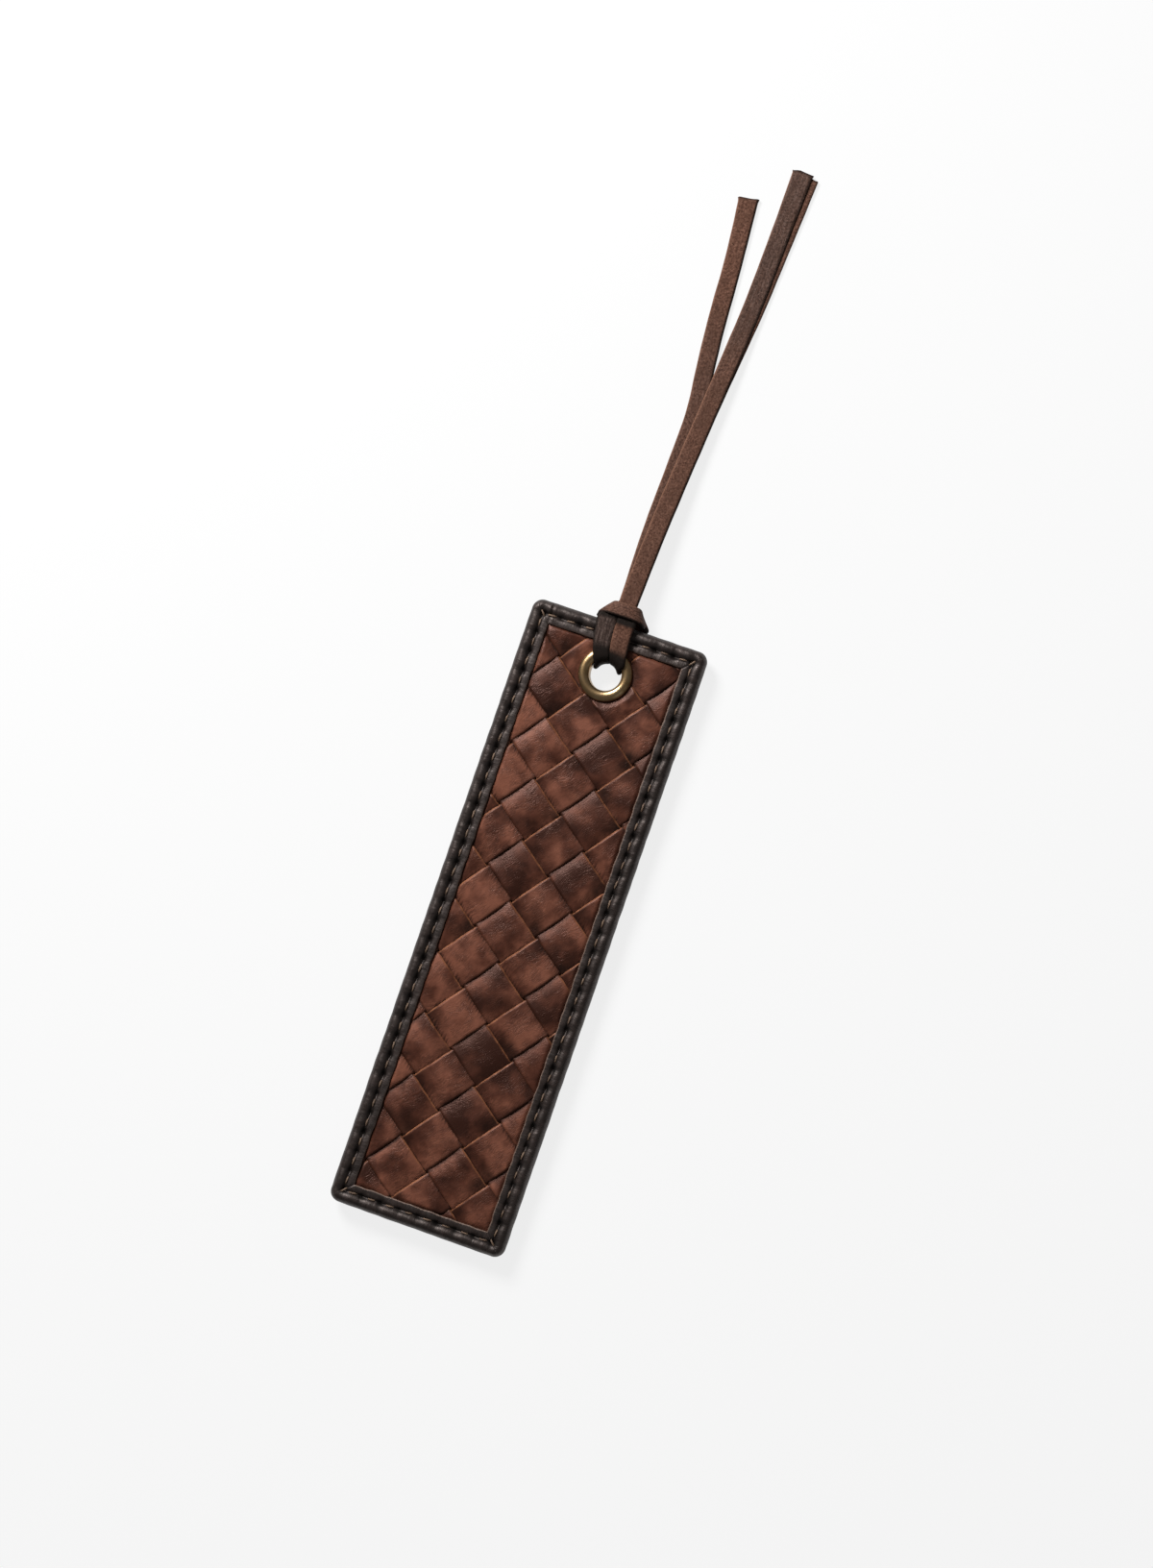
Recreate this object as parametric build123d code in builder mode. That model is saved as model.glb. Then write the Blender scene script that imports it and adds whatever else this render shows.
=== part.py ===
from build123d import *
import math
import os

# Bookmark: plaited leather strips on a stiff core, lined, bound and stitched round the edge,
# with a brass eyelet that holds a flat leather lace in a cow hitch.
# The origin is the middle of the panel. X runs across it, Y towards the lace, Z out of the front.
# Lengths are in millimetres, angles in degrees.

# Panel
panel_width = 40.0
panel_length = 137.0
panel_corner_radius = 2.5

# Layers, from the front to the back
binding_thickness = 0.75
strip_thickness = 0.5
core_thickness = 0.6
lining_thickness = 0.5

# Plait: two sets of strips that cross over one, under one
strip_pitch = 9.5
strip_gap = 0.7
strip_crown = 0.25
crest_share = 0.4
crossing_clearance = 0.04
rising_angle = 53.0
plait_start_x = -6.0
plait_start_y = 24.65

# Binding: one folded strip, pinched down by a stitch line, with its ends butted near a corner
binding_reach = 4.8
front_rounding = 1.75
back_rounding = 1.2
layers_inset = 1.5
roll_width = 2.4
lip_drop = 0.12
stitch_inset = 2.9
groove_width = 0.7
groove_depth = 0.3
seam_from_side = 4.5
seam_gap = 0.15
mitre_width = 0.15
mitre_depth = 0.2

# Stitching
stitch_pitch = 4.4
stitch_length = 2.7
stitch_width = 0.5
stitch_height = 0.4

# Eyelet and its washer
eyelet_from_top = 11.2
bore_diameter = 6.8
barrel_wall = 0.4
flange_diameter = 12.0
flange_rise = 1.0
washer_diameter = 11.0
washer_thickness = 0.4
rim_diameter = 9.8
rim_rise = 0.6
flange_facets = 5
rim_facets = 3

# Lace
lace_width = 4.1
lace_thickness = 1.0
strand_gap = 0.1
strands_lean = -1.15
bore_view_drop = 1.0
grip_height = 0.3
flange_hold = 3.8
band_from_edge = 1.4
band_length = 3.0
band_lean = -0.5
band_low_width = 12.2
band_high_width = 6.6
band_rounding = 1.8
shoulder_facets = 3
mouth_width = 4.4
mouth_height = 0.9
leg_spread = 1.4

# Tails of the lace: the right one lies on the left one where they leave the hitch
hinge_from_band = 1.6
tails_gap = 0.3
spread_pivot_from_hinge = 1.2
bend_share = 0.45
least_turn = 0.01

# Fits
layer_fit = 0.02
metal_fit = 0.05
lace_fit = 0.05
overrun = 1.0

# Heights through the panel, from its middle
plait_thickness = 2 * strip_thickness + crossing_clearance
layers_thickness = plait_thickness + core_thickness + lining_thickness
plait_top = layers_thickness / 2
plait_bottom = plait_top - plait_thickness
core_bottom = plait_bottom - core_thickness
lining_bottom = core_bottom - lining_thickness
binding_top = plait_top + binding_thickness
lip_top = binding_top - lip_drop
groove_floor = lip_top - groove_depth
washer_bottom = lining_bottom - washer_thickness
rim_bottom = washer_bottom - rim_rise
flange_top = plait_top + flange_rise

# Outlines inside the panel's edge
pocket_width = panel_width - 2 * layers_inset
pocket_length = panel_length - 2 * layers_inset
pocket_corner_radius = panel_corner_radius - layers_inset
layers_width = pocket_width - 2 * layer_fit
layers_length = pocket_length - 2 * layer_fit
layers_corner_radius = pocket_corner_radius - layer_fit
window_width = panel_width - 2 * binding_reach
window_length = panel_length - 2 * binding_reach
lip_width = panel_width - 2 * roll_width
lip_length = panel_length - 2 * roll_width
stitch_run_x = panel_width - 2 * stitch_inset
stitch_run_y = panel_length - 2 * stitch_inset

# Eyelet radii and place
panel_top_y = panel_length / 2
eyelet_y = panel_top_y - eyelet_from_top
bore_radius = bore_diameter / 2
barrel_radius = bore_radius + barrel_wall
eyelet_hole_radius = barrel_radius + metal_fit
flange_radius = flange_diameter / 2

os.makedirs("parts", exist_ok=True)


def save(piece, name):
    """Label a finished piece and write it as its own file."""
    piece.part.label = name
    export_step(piece.part, f"parts/{name}.step")


# Space that the plait may fill: flat under the binding and the eyelet, free to crown elsewhere
with BuildPart() as plait_space:
    with BuildSketch(Plane.XY.offset(plait_bottom)):
        RectangleRounded(layers_width, layers_length, layers_corner_radius)
    extrude(amount=plait_thickness)
    with BuildSketch(Plane.XY.offset(plait_top)):
        Rectangle(window_width - 2 * layer_fit, window_length - 2 * layer_fit)
        with Locations((0, eyelet_y)):
            Circle(flange_radius + metal_fit, mode=Mode.SUBTRACT)
    extrude(amount=2 * strip_crown)
    with BuildSketch(Plane.XY.offset(plait_bottom)):
        with Locations((0, eyelet_y)):
            Circle(eyelet_hole_radius)
    extrude(amount=plait_thickness, mode=Mode.SUBTRACT)

# Plait lattice: a rising step runs up to the right, a falling step down to the right
strip_width = strip_pitch - strip_gap
strip_level = (strip_thickness + crossing_clearance) / 2
plait_middle = plait_bottom + plait_thickness / 2
plait_start = Vector(plait_start_x, plait_start_y, plait_middle)
rising_way = Vector(1, 0).rotate(Axis.Z, rising_angle)
falling_way = Vector(1, 0).rotate(Axis.Z, rising_angle - 90)


def strips_across(way):
    """Whole steps along a way, from the lattice's start, that bring a strip into the window."""
    reach = (abs(way.X) * window_width + abs(way.Y) * window_length + strip_width) / 2
    start = plait_start.X * way.X + plait_start.Y * way.Y
    first = math.ceil((-reach - start) / strip_pitch)
    last = math.floor((reach - start) / strip_pitch)
    return range(first, last + 1)


def strip_face(crossings, over, height):
    """Draw one face of a strip seen from its edge: crowned where it lies over, flat where under."""
    ends = []
    for crossing in crossings:
        middle = crossing * strip_pitch
        lies_over = (crossing + over) % 2 == 0
        level = height + (strip_level if lies_over else -strip_level)
        start = (middle - strip_width / 2, level)
        end = (middle + strip_width / 2, level)
        if ends:
            Line(ends[-1], start)
        if lies_over:
            crest_half = crest_share * strip_width / 2
            crest_level = level + strip_crown
            Polyline(start, (middle - crest_half, crest_level), (middle + crest_half, crest_level), end)
        else:
            Line(start, end)
        ends += [start, end]
    return ends[0], ends[-1]


def weave_strip(origin, way, crossings, over):
    """Make one strip that waves over and under the strips it crosses, trimmed to the panel."""
    edge_on = Plane(origin=origin, x_dir=way, z_dir=way.cross(Vector(0, 0, 1)))
    with BuildPart() as strip:
        with BuildSketch(edge_on):
            with BuildLine():
                top_start, top_end = strip_face(crossings, over, strip_thickness / 2)
                low_start, low_end = strip_face(crossings, over, -strip_thickness / 2)
                Line(top_start, low_start)
                Line(top_end, low_end)
            make_face()
        extrude(amount=strip_width / 2, both=True)
        add(plait_space.part, mode=Mode.INTERSECT)
    return strip


rising_steps = strips_across(falling_way)
falling_steps = strips_across(rising_way)
rising_crossings = range(falling_steps[0] - 1, falling_steps[-1] + 2)
falling_crossings = range(rising_steps[0] - 1, rising_steps[-1] + 2)
for number, step in enumerate(falling_steps, start=1):
    origin = plait_start + rising_way * (step * strip_pitch)
    save(weave_strip(origin, falling_way, falling_crossings, step), f"falling_strip_{number:02d}")
for number, step in enumerate(rising_steps, start=1):
    origin = plait_start + falling_way * (step * strip_pitch)
    save(weave_strip(origin, rising_way, rising_crossings, step + 1), f"rising_strip_{number:02d}")

# Stiff board under the plait
with BuildPart() as core_board:
    with BuildSketch(Plane.XY.offset(core_bottom)):
        RectangleRounded(layers_width, layers_length, layers_corner_radius)
        with Locations((0, eyelet_y)):
            Circle(eyelet_hole_radius, mode=Mode.SUBTRACT)
    extrude(amount=core_thickness)
save(core_board, "core_board")

# Plain leather lining on the back
with BuildPart() as back_lining:
    with BuildSketch(Plane.XY.offset(lining_bottom)):
        RectangleRounded(layers_width, layers_length, layers_corner_radius)
        with Locations((0, eyelet_y)):
            Circle(eyelet_hole_radius, mode=Mode.SUBTRACT)
    extrude(amount=lining_thickness)
save(back_lining, "back_lining")

# Edge binding: a rounded roll round the layers, with a groove for the stitches on each face
# and folded mitres at the corners of the back
mitre_length = math.hypot(binding_reach, binding_reach) + overrun
with BuildPart() as edge_binding:
    with BuildSketch(Plane.XY.offset(-binding_top)):
        RectangleRounded(panel_width, panel_length, panel_corner_radius)
    extrude(amount=2 * binding_top)
    flat_faces = edge_binding.faces().filter_by(Axis.Z).sort_by(Axis.Z)
    fillet(flat_faces[-1].edges(), front_rounding)
    back_face = edge_binding.faces().filter_by(Axis.Z).sort_by(Axis.Z)[0]
    fillet(back_face.edges(), back_rounding)
    with BuildSketch(Plane.XY.offset(lining_bottom)):
        RectangleRounded(pocket_width, pocket_length, pocket_corner_radius)
    extrude(amount=layers_thickness, mode=Mode.SUBTRACT)
    with BuildSketch(Plane.XY.offset(-binding_top)):
        Rectangle(window_width, window_length)
    extrude(amount=2 * binding_top, mode=Mode.SUBTRACT)
    for face_plane in (Plane.XY, Plane.XY.rotated((180, 0, 0))):
        with BuildSketch(face_plane.offset(lip_top)):
            Rectangle(lip_width, lip_length)
        extrude(amount=lip_drop, mode=Mode.SUBTRACT)
        with BuildSketch(face_plane.offset(groove_floor)):
            Rectangle(stitch_run_x + groove_width, stitch_run_y + groove_width)
            Rectangle(stitch_run_x - groove_width, stitch_run_y - groove_width, mode=Mode.SUBTRACT)
        extrude(amount=groove_depth + lip_drop, mode=Mode.SUBTRACT)
    with Locations((seam_from_side - panel_width / 2, panel_top_y - binding_reach / 2)):
        Box(seam_gap, binding_reach + overrun, 2 * binding_top, mode=Mode.SUBTRACT)
    for side_x in (-1, 1):
        for side_y in (-1, 1):
            corner = (side_x * panel_width / 2, side_y * panel_length / 2, -binding_top)
            with Locations(Location(corner, (0, 0, side_x * side_y * 45))):
                Box(2 * mitre_length, mitre_width, 2 * mitre_depth, mode=Mode.SUBTRACT)
save(edge_binding, "edge_binding")

# Stitches in the grooves, front and back
stitches_across = round(stitch_run_x / stitch_pitch)
stitches_along = round(stitch_run_y / stitch_pitch)

def sew(face_plane):
    """Lay one row of stitches in the groove on one face of the panel."""
    with BuildPart() as thread:
        with BuildSketch(face_plane.offset(groove_floor)):
            with GridLocations(stitch_run_x / stitches_across, stitch_run_y, stitches_across, 2):
                Rectangle(stitch_length, stitch_width)
            with GridLocations(stitch_run_x, stitch_run_y / stitches_along, 2, stitches_along):
                Rectangle(stitch_width, stitch_length)
        extrude(amount=stitch_height)
    return thread


save(sew(Plane.XY), "front_stitching")
save(sew(Plane.XY.rotated((180, 0, 0))), "back_stitching")

# Brass eyelet: a domed flange, a barrel through the layers and a rim rolled over the washer
through_eyelet = Plane(origin=(0, eyelet_y, 0), x_dir=(1, 0, 0), z_dir=(0, -1, 0))
eyelet_axis = Axis((0, eyelet_y, 0), (0, 0, 1))


def dome_points(edge_radius, base, rise, facets):
    """Points over a half-round dome, from its outer edge to the bore, seen in section."""
    middle = (edge_radius + bore_radius) / 2
    half = (edge_radius - bore_radius) / 2
    turns = [math.pi * step / facets for step in range(facets + 1)]
    return [(middle + half * math.cos(turn), base + rise * math.sin(turn)) for turn in turns]


with BuildPart() as eyelet:
    with BuildSketch(through_eyelet):
        with BuildLine():
            flange = dome_points(flange_radius, plait_top, flange_rise, flange_facets)
            rim = dome_points(rim_diameter / 2, washer_bottom, -rim_rise, rim_facets)
            barrel = [(barrel_radius, washer_bottom), (barrel_radius, plait_top)]
            Polyline(*flange, *reversed(rim), *barrel, close=True)
        make_face()
    revolve(axis=eyelet_axis)
save(eyelet, "eyelet")

# Washer that the eyelet's rim is rolled over, on the lining
with BuildPart() as eyelet_washer:
    with BuildSketch(Plane.XY.offset(washer_bottom)):
        with Locations((0, eyelet_y)):
            Circle(washer_diameter / 2)
            Circle(eyelet_hole_radius, mode=Mode.SUBTRACT)
    extrude(amount=washer_thickness)
save(eyelet_washer, "eyelet_washer")

# Places of the lace: it lies on the flange in front and under the rim behind
front_bottom = flange_top + lace_fit
front_top = front_bottom + lace_thickness
legs_top = rim_bottom - lace_fit
floor_height = legs_top - lace_thickness
grip_radius = bore_radius - lace_fit
band_low_y = panel_top_y + band_from_edge
band_high_y = band_low_y + band_length
hinge_y = band_high_y + hinge_from_band
tail_stack = 2 * lace_thickness + tails_gap
mouth_top = mouth_height + tail_stack / 2


def strand_outline(side):
    """Outline of a front strand, from the eyelet up to the band."""
    return Polygon(
        (side * strand_gap / 2, eyelet_y),
        (side * grip_radius, eyelet_y + grip_height),
        (side * flange_hold, eyelet_y + bore_radius),
        (strands_lean + side * (strand_gap / 2 + lace_width), band_low_y),
        (strands_lean + side * strand_gap / 2, band_low_y),
        align=None,
    )


def leg_outline(side):
    """Outline of a back leg, from the eyelet up and out to the end of the band."""
    return Polygon(
        (side * strand_gap / 2, eyelet_y),
        (side * grip_radius, eyelet_y + grip_height),
        (band_lean + side * band_low_width / 2, band_low_y),
        (band_lean + side * band_high_width / 2, band_high_y),
        (band_lean + side * leg_spread, band_high_y),
        align=None,
    )


def band_side(half, crest, reach):
    """Right half of one face of the band in section: up from its foot and over the shoulder."""
    middle = half - band_rounding
    turns = [math.pi / 2 * step / shoulder_facets for step in range(shoulder_facets + 1)]
    shoulder = [
        (middle + reach * math.cos(turn), crest - band_rounding + reach * math.sin(turn)) for turn in turns
    ]
    return [(middle + reach, floor_height)] + shoulder


def mirrored(points):
    """The same points on the other side of the band, in the opposite order."""
    return [(-x, z) for x, z in reversed(points)]


def band_section(band_y, width, top):
    """Section of the band: across the front of the strands and down round both sides."""
    half = (width - lace_thickness) / 2
    crest = top - lace_thickness / 2
    outer = band_side(half, crest, band_rounding + lace_thickness / 2)
    inner = band_side(half, crest, band_rounding - lace_thickness / 2)
    inside = inner + mirrored(inner)
    with BuildSketch(Plane.XZ.offset(-band_y)) as section:
        with Locations((band_lean, 0)):
            Polygon(*outer, *mirrored(outer), *reversed(inside), align=None)
    return section.sketch


# Hitch: two front strands pass under the band, through the eyelet and up the back into the band
with BuildPart() as lace_hitch:
    with BuildSketch(Plane.XY.offset(front_bottom)):
        strand_outline(-1)
        strand_outline(1)
    extrude(amount=lace_thickness)
    with BuildSketch(Plane.XY.offset(floor_height)):
        leg_outline(-1)
        leg_outline(1)
    extrude(amount=lace_thickness)
    with BuildSketch(Plane.XY.offset(floor_height)):
        with Locations((0, eyelet_y)):
            Circle(grip_radius)
    extrude(amount=front_top - floor_height)
    with BuildSketch(Plane.XY.offset(floor_height)):
        with Locations((0, eyelet_y - bore_view_drop)):
            Circle(bore_radius)
    extrude(amount=front_top - floor_height, mode=Mode.SUBTRACT)
    low_section = band_section(band_low_y, band_low_width, front_top + lace_thickness + lace_fit)
    high_section = band_section(band_high_y, band_high_width, mouth_top + lace_thickness + lace_fit)
    loft(sections=[low_section, high_section])
    with BuildSketch(Plane.XZ.offset(-band_low_y)):
        with Locations((strands_lean, front_bottom + lace_thickness / 2)):
            Rectangle(2 * lace_width + strand_gap, lace_thickness)
    with BuildSketch(Plane.XZ.offset(-band_high_y)):
        with Locations((band_lean, mouth_height)):
            Rectangle(mouth_width, tail_stack)
    loft()
save(lace_hitch, "lace_hitch")

# Routes of the tails, from the hinge to the tip: down onto the surface, then along it
tail_level = floor_height + lace_thickness / 2
right_start_height = mouth_height + (tails_gap + lace_thickness) / 2
left_start_height = mouth_height - (tails_gap + lace_thickness) / 2
right_route = [
    (-0.1, hinge_y, right_start_height),
    (0.4, 92.0, 0.2),
    (1.5, 109.0, -1.0),
    (2.75, 126.0, -1.25),
    (3.75, 142.0, tail_level),
    (4.2, 157.5, tail_level),
    (4.6, 173.8, tail_level),
]
left_route = [
    (-0.9, hinge_y, left_start_height),
    (-1.25, 92.0, -1.25),
    (-0.95, 108.0, -2.4),
    (-1.6, 123.0, tail_level),
    (-2.75, 138.0, tail_level),
    (-3.45, 152.0, tail_level),
    (-4.85, 164.9, tail_level),
]


def route_line(points):
    """Draw a route in one view as straight runs and the largest arcs that the runs allow."""
    corners = [Vector(*point) for point in points]
    kept = [corners[0]]
    radii = []
    for here, after in zip(corners[1:], corners[2:]):
        run = here - kept[-1]
        turn = run.get_angle(after - here)
        if turn > least_turn:
            shorter = min(run.length, (after - here).length)
            radii.append(bend_share * shorter / math.tan(math.radians(turn) / 2))
            kept.append(here)
    print("bend radii", [round(radius) for radius in radii])
    return FilletPolyline(*kept, corners[-1], radius=radii)


# Right tail: the upper one, rounded at its root about the hinge
root_radius = tail_stack / 2
tail_box_height = right_start_height + lace_thickness - floor_height
with BuildPart() as lace_tail_right:
    with BuildSketch(Plane.XY.offset(floor_height)):
        with BuildLine():
            route_line([(x, y) for x, y, z in right_route])
        trace(line_width=lace_width)
        with Locations((right_route[0][0], hinge_y)):
            Rectangle(lace_width, tail_stack)
    extrude(amount=tail_box_height)
    with BuildSketch(Plane.YZ):
        with BuildLine():
            route_line([(y, z) for x, y, z in right_route])
        trace(line_width=lace_thickness)
        with Locations((hinge_y, mouth_height)):
            Circle(root_radius)
        with Locations((hinge_y, mouth_height + tails_gap / 2)):
            Rectangle(tail_stack, tail_stack, align=(Align.CENTER, Align.MAX), mode=Mode.SUBTRACT)
    extrude(amount=panel_width, both=True, mode=Mode.INTERSECT)
save(lace_tail_right, "lace_tail_right")

# Left tail: the lower one, also rounded in plan, about the pivot where it spreads from the other
with BuildPart() as lace_tail_left:
    with BuildSketch(Plane.XY.offset(floor_height)):
        with BuildLine():
            route_line([(x, y) for x, y, z in left_route])
        trace(line_width=lace_width)
        with Locations((left_route[0][0], hinge_y)):
            Rectangle(lace_width, 2 * spread_pivot_from_hinge, mode=Mode.SUBTRACT)
        with Locations((left_route[0][0], hinge_y + spread_pivot_from_hinge)):
            Circle(lace_width / 2)
    extrude(amount=tail_box_height)
    with BuildSketch(Plane.YZ):
        with BuildLine():
            route_line([(y, z) for x, y, z in left_route])
        trace(line_width=lace_thickness)
        with Locations((hinge_y, mouth_height)):
            Circle(root_radius)
        with Locations((hinge_y, mouth_height - tails_gap / 2)):
            Rectangle(tail_stack, tail_stack, align=(Align.CENTER, Align.MIN), mode=Mode.SUBTRACT)
    extrude(amount=panel_width, both=True, mode=Mode.INTERSECT)
save(lace_tail_left, "lace_tail_left")
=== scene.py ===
# %% [markdown]
# A bookmark of plaited leather, with a brass eyelet and a lace.
#
# The real bookmark is a flat panel of crossed leather strips on a stiff board. A dark leather strip binds
# its edge, a tan thread sews the binding down, and a flat lace is hitched through a brass eyelet.
# The imported model gives the frame: every piece below is built in that frame, and most of them then ride
# on one of its bodies. Sizes in this lesson are in millimetres, and are scaled once to metres, when a mesh is
# made.

# %% Load the frame
import math

import bmesh
import bpy
import numpy as np
from mathutils import Matrix


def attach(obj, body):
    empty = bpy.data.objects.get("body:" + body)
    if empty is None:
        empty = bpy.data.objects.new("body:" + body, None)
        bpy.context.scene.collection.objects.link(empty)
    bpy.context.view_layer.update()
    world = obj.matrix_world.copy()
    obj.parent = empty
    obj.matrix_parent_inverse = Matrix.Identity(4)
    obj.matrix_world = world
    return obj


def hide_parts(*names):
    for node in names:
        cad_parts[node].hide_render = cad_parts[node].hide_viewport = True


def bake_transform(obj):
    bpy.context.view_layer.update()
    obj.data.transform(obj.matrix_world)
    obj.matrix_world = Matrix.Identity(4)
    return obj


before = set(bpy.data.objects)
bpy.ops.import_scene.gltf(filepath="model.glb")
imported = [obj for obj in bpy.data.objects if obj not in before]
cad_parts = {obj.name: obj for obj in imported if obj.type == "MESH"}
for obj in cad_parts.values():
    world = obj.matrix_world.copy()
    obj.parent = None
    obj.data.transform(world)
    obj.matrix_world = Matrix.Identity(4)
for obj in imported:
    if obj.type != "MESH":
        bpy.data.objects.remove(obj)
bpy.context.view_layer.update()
scene = bpy.context.scene
MM = 0.001

# %% [markdown]
# The camera looks down on the bookmark through a long lens, from a little to its right, and the bookmark
# lies turned by 19 degrees in the picture. A camera can be placed by eye, but here its place comes from the
# panel's four corners in the photograph: a point to look at, two small tilts, a roll and a lens were fitted
# until the corners fell where they are.

# %% Camera
look_at = (1.70, 33.07, 0.0)
camera_distance = 1000.0
tilt_to_right = math.radians(8.0)
tilt_to_top = math.radians(-1.1)
roll = math.radians(19.21)
lens_in_pixels = 4845.3
image_height = 1632


def put(holder, top, back, target, distance):
    """Place a camera or lamp at a distance from a target, facing it, with its top towards a direction."""
    scene.collection.objects.link(holder)
    back = np.array(back, float) / np.linalg.norm(back)
    right = np.cross(top, back)
    right /= np.linalg.norm(right)
    pose = np.eye(4)
    pose[:3, :3] = np.column_stack([right, np.cross(back, right), back])
    pose[:3, 3] = (np.array(target) + back * distance) * MM
    holder.matrix_world = Matrix(pose.tolist())


camera = bpy.data.objects.new("camera", bpy.data.cameras.new("camera"))
camera_top = (-math.sin(roll), math.cos(roll), 0.0)
put(camera, camera_top, (math.tan(tilt_to_right), math.tan(tilt_to_top), 1.0), look_at, camera_distance)
camera.data.sensor_width = 36.0
camera.data.lens = lens_in_pixels / image_height * camera.data.sensor_width
camera.data.clip_start = 0.05
camera.data.clip_end = 20.0
scene.camera = camera
print("camera lens", round(camera.data.lens, 1), "mm")

# %% [markdown]
# The light in the photograph comes from the upper left, low enough to leave dark lines under the strips'
# far edges, and the ground is white. One large soft lamp gives that, with a weak fill from the other side.
# The world is plain grey, so the brass has something dark to reflect.

# %% Light
lamp_target = (0.0, 30.0, 0.0)


def area_lamp(name, towards, distance, width, power):
    """Put a square lamp in a direction from the bookmark, facing it."""
    lamp = bpy.data.lights.new(name, "AREA")
    lamp.energy = power
    lamp.size = width * MM
    put(bpy.data.objects.new(name, lamp), (0.0, 0.0, 1.0), towards, lamp_target, distance)


area_lamp("key_lamp", (-0.72, 0.68, 0.82), 650.0, 220.0, 5.95)
area_lamp("fill_lamp", (0.7, -0.5, 1.0), 1000.0, 700.0, 0.25)
world = bpy.data.worlds.new("studio")
world.use_nodes = True
world.node_tree.nodes["Background"].inputs["Color"].default_value = (1.0, 1.0, 1.0, 1.0)
world.node_tree.nodes["Background"].inputs["Strength"].default_value = 0.12
scene.world = world
scene.view_settings.view_transform = "Standard"

# %% [markdown]
# The floor is white by its own colour, and mixes in plain white for camera, glossy and transmission rays,
# which pales its shadow but keeps it. A material is a graph of nodes, so this cell starts with helpers that
# add nodes and link them. A socket knows its own tree, as its id_data, so most of them only take sockets.

# %% Floor
floor_height = -3.14
floor_reach = 3.0
floor_whiteness = 0.82


def plug(socket, value):
    """Give a socket a value, or link another node's socket to it."""
    if isinstance(value, bpy.types.NodeSocket):
        socket.id_data.links.new(value, socket)
    else:
        socket.default_value = value


def fill(target, inputs):
    """Fill a node's inputs, by name or number."""
    for key, value in inputs.items():
        plug(target.inputs[key], value)


def node(tree, kind, inputs=None, **settings):
    """Add a node, set its options and fill its inputs."""
    made = tree.nodes.new(kind)
    for key, value in settings.items():
        setattr(made, key, value)
    fill(made, inputs or {})
    return made


def calc(operation, *values):
    """Add one step of arithmetic and return its result."""
    tree = next(value.id_data for value in values if isinstance(value, bpy.types.NodeSocket))
    return node(tree, "ShaderNodeMath", dict(enumerate(values)), operation=operation).outputs[0]


def times(first, *others):
    """Multiply values, one after the other."""
    for value in others:
        first = calc("MULTIPLY", first, value)
    return first


floor_paint = bpy.data.materials.new("white_ground")
floor_paint.use_nodes = True
tree = floor_paint.node_tree
tree.nodes.clear()
rays = node(tree, "ShaderNodeLightPath").outputs
seen = calc("MAXIMUM", rays["Is Camera Ray"], rays["Is Glossy Ray"])
seen = calc("MAXIMUM", seen, rays["Is Transmission Ray"])
chalk = node(tree, "ShaderNodeBsdfDiffuse", {"Color": (0.75, 0.75, 0.75, 1.0)}).outputs[0]
glow = node(tree, "ShaderNodeEmission", {"Color": (1.0, 1.0, 1.0, 1.0), "Strength": 1.0}).outputs[0]
ground = node(tree, "ShaderNodeMixShader", {0: times(seen, floor_whiteness), 1: chalk, 2: glow})
node(tree, "ShaderNodeOutputMaterial", {"Surface": ground.outputs[0]})

corners = [(-1, -1), (1, -1), (1, 1), (-1, 1)]
floor_points = [(x * floor_reach, y * floor_reach, floor_height * MM) for x, y in corners]
floor_mesh = bpy.data.meshes.new("floor")
floor_mesh.from_pydata(floor_points, [], [(0, 1, 2, 3)])
floor_mesh.materials.append(floor_paint)
floor = bpy.data.objects.new("floor", floor_mesh)
scene.collection.objects.link(floor)
print("floor at", floor_height, "mm")

# %% [markdown]
# Leather that is worn and sewn by hand has no even edges, so many shapes below are moved by smooth numbers:
# steps, hills and random waves with a fixed seed. The last helper measures the length along a row of points.

# %% Helpers for smooth numbers


def smooth_step(low, high, value):
    """Go from 0 to 1 between two values, without corners."""
    share = np.clip((np.asarray(value, float) - low) / (high - low), 0.0, 1.0)
    return share * share * (3.0 - 2.0 * share)


def hill(value, middle, width, power=2):
    """A smooth hill: 1 at its middle, and nearly 0 at twice its width."""
    return np.exp(-np.abs((np.asarray(value, float) - middle) / width) ** power)


def ripple(values, seed, scale):
    """Smooth random waves along a line, between -1 and 1, the same in each run."""
    starts = np.random.default_rng(seed)
    values = np.asarray(values, float)
    total = np.zeros_like(values)
    for turn in range(6):
        length = scale * (0.45 + 0.42 * turn)
        total += np.sin(values * (2 * math.pi / length) + starts.uniform(0, 2 * math.pi))
    return total / 6


def run_along(points):
    """Length along a row of points, from 0 at the first one."""
    return np.concatenate([[0.0], np.cumsum(np.linalg.norm(np.diff(points, axis=0), axis=1))])


print("number helpers ready")

# %% [markdown]
# Most pieces here are thin slabs of leather: a top sheet, an underside and an edge between them. Solidify
# can thicken a sheet, but these edges are rounded and worn in their own way, so a small helper closes two
# matching grids of points instead. Another turns the points into an object at the origin, with the numbers
# that its material needs stored as attributes on its points.

# %% Helpers that make meshes


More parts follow.
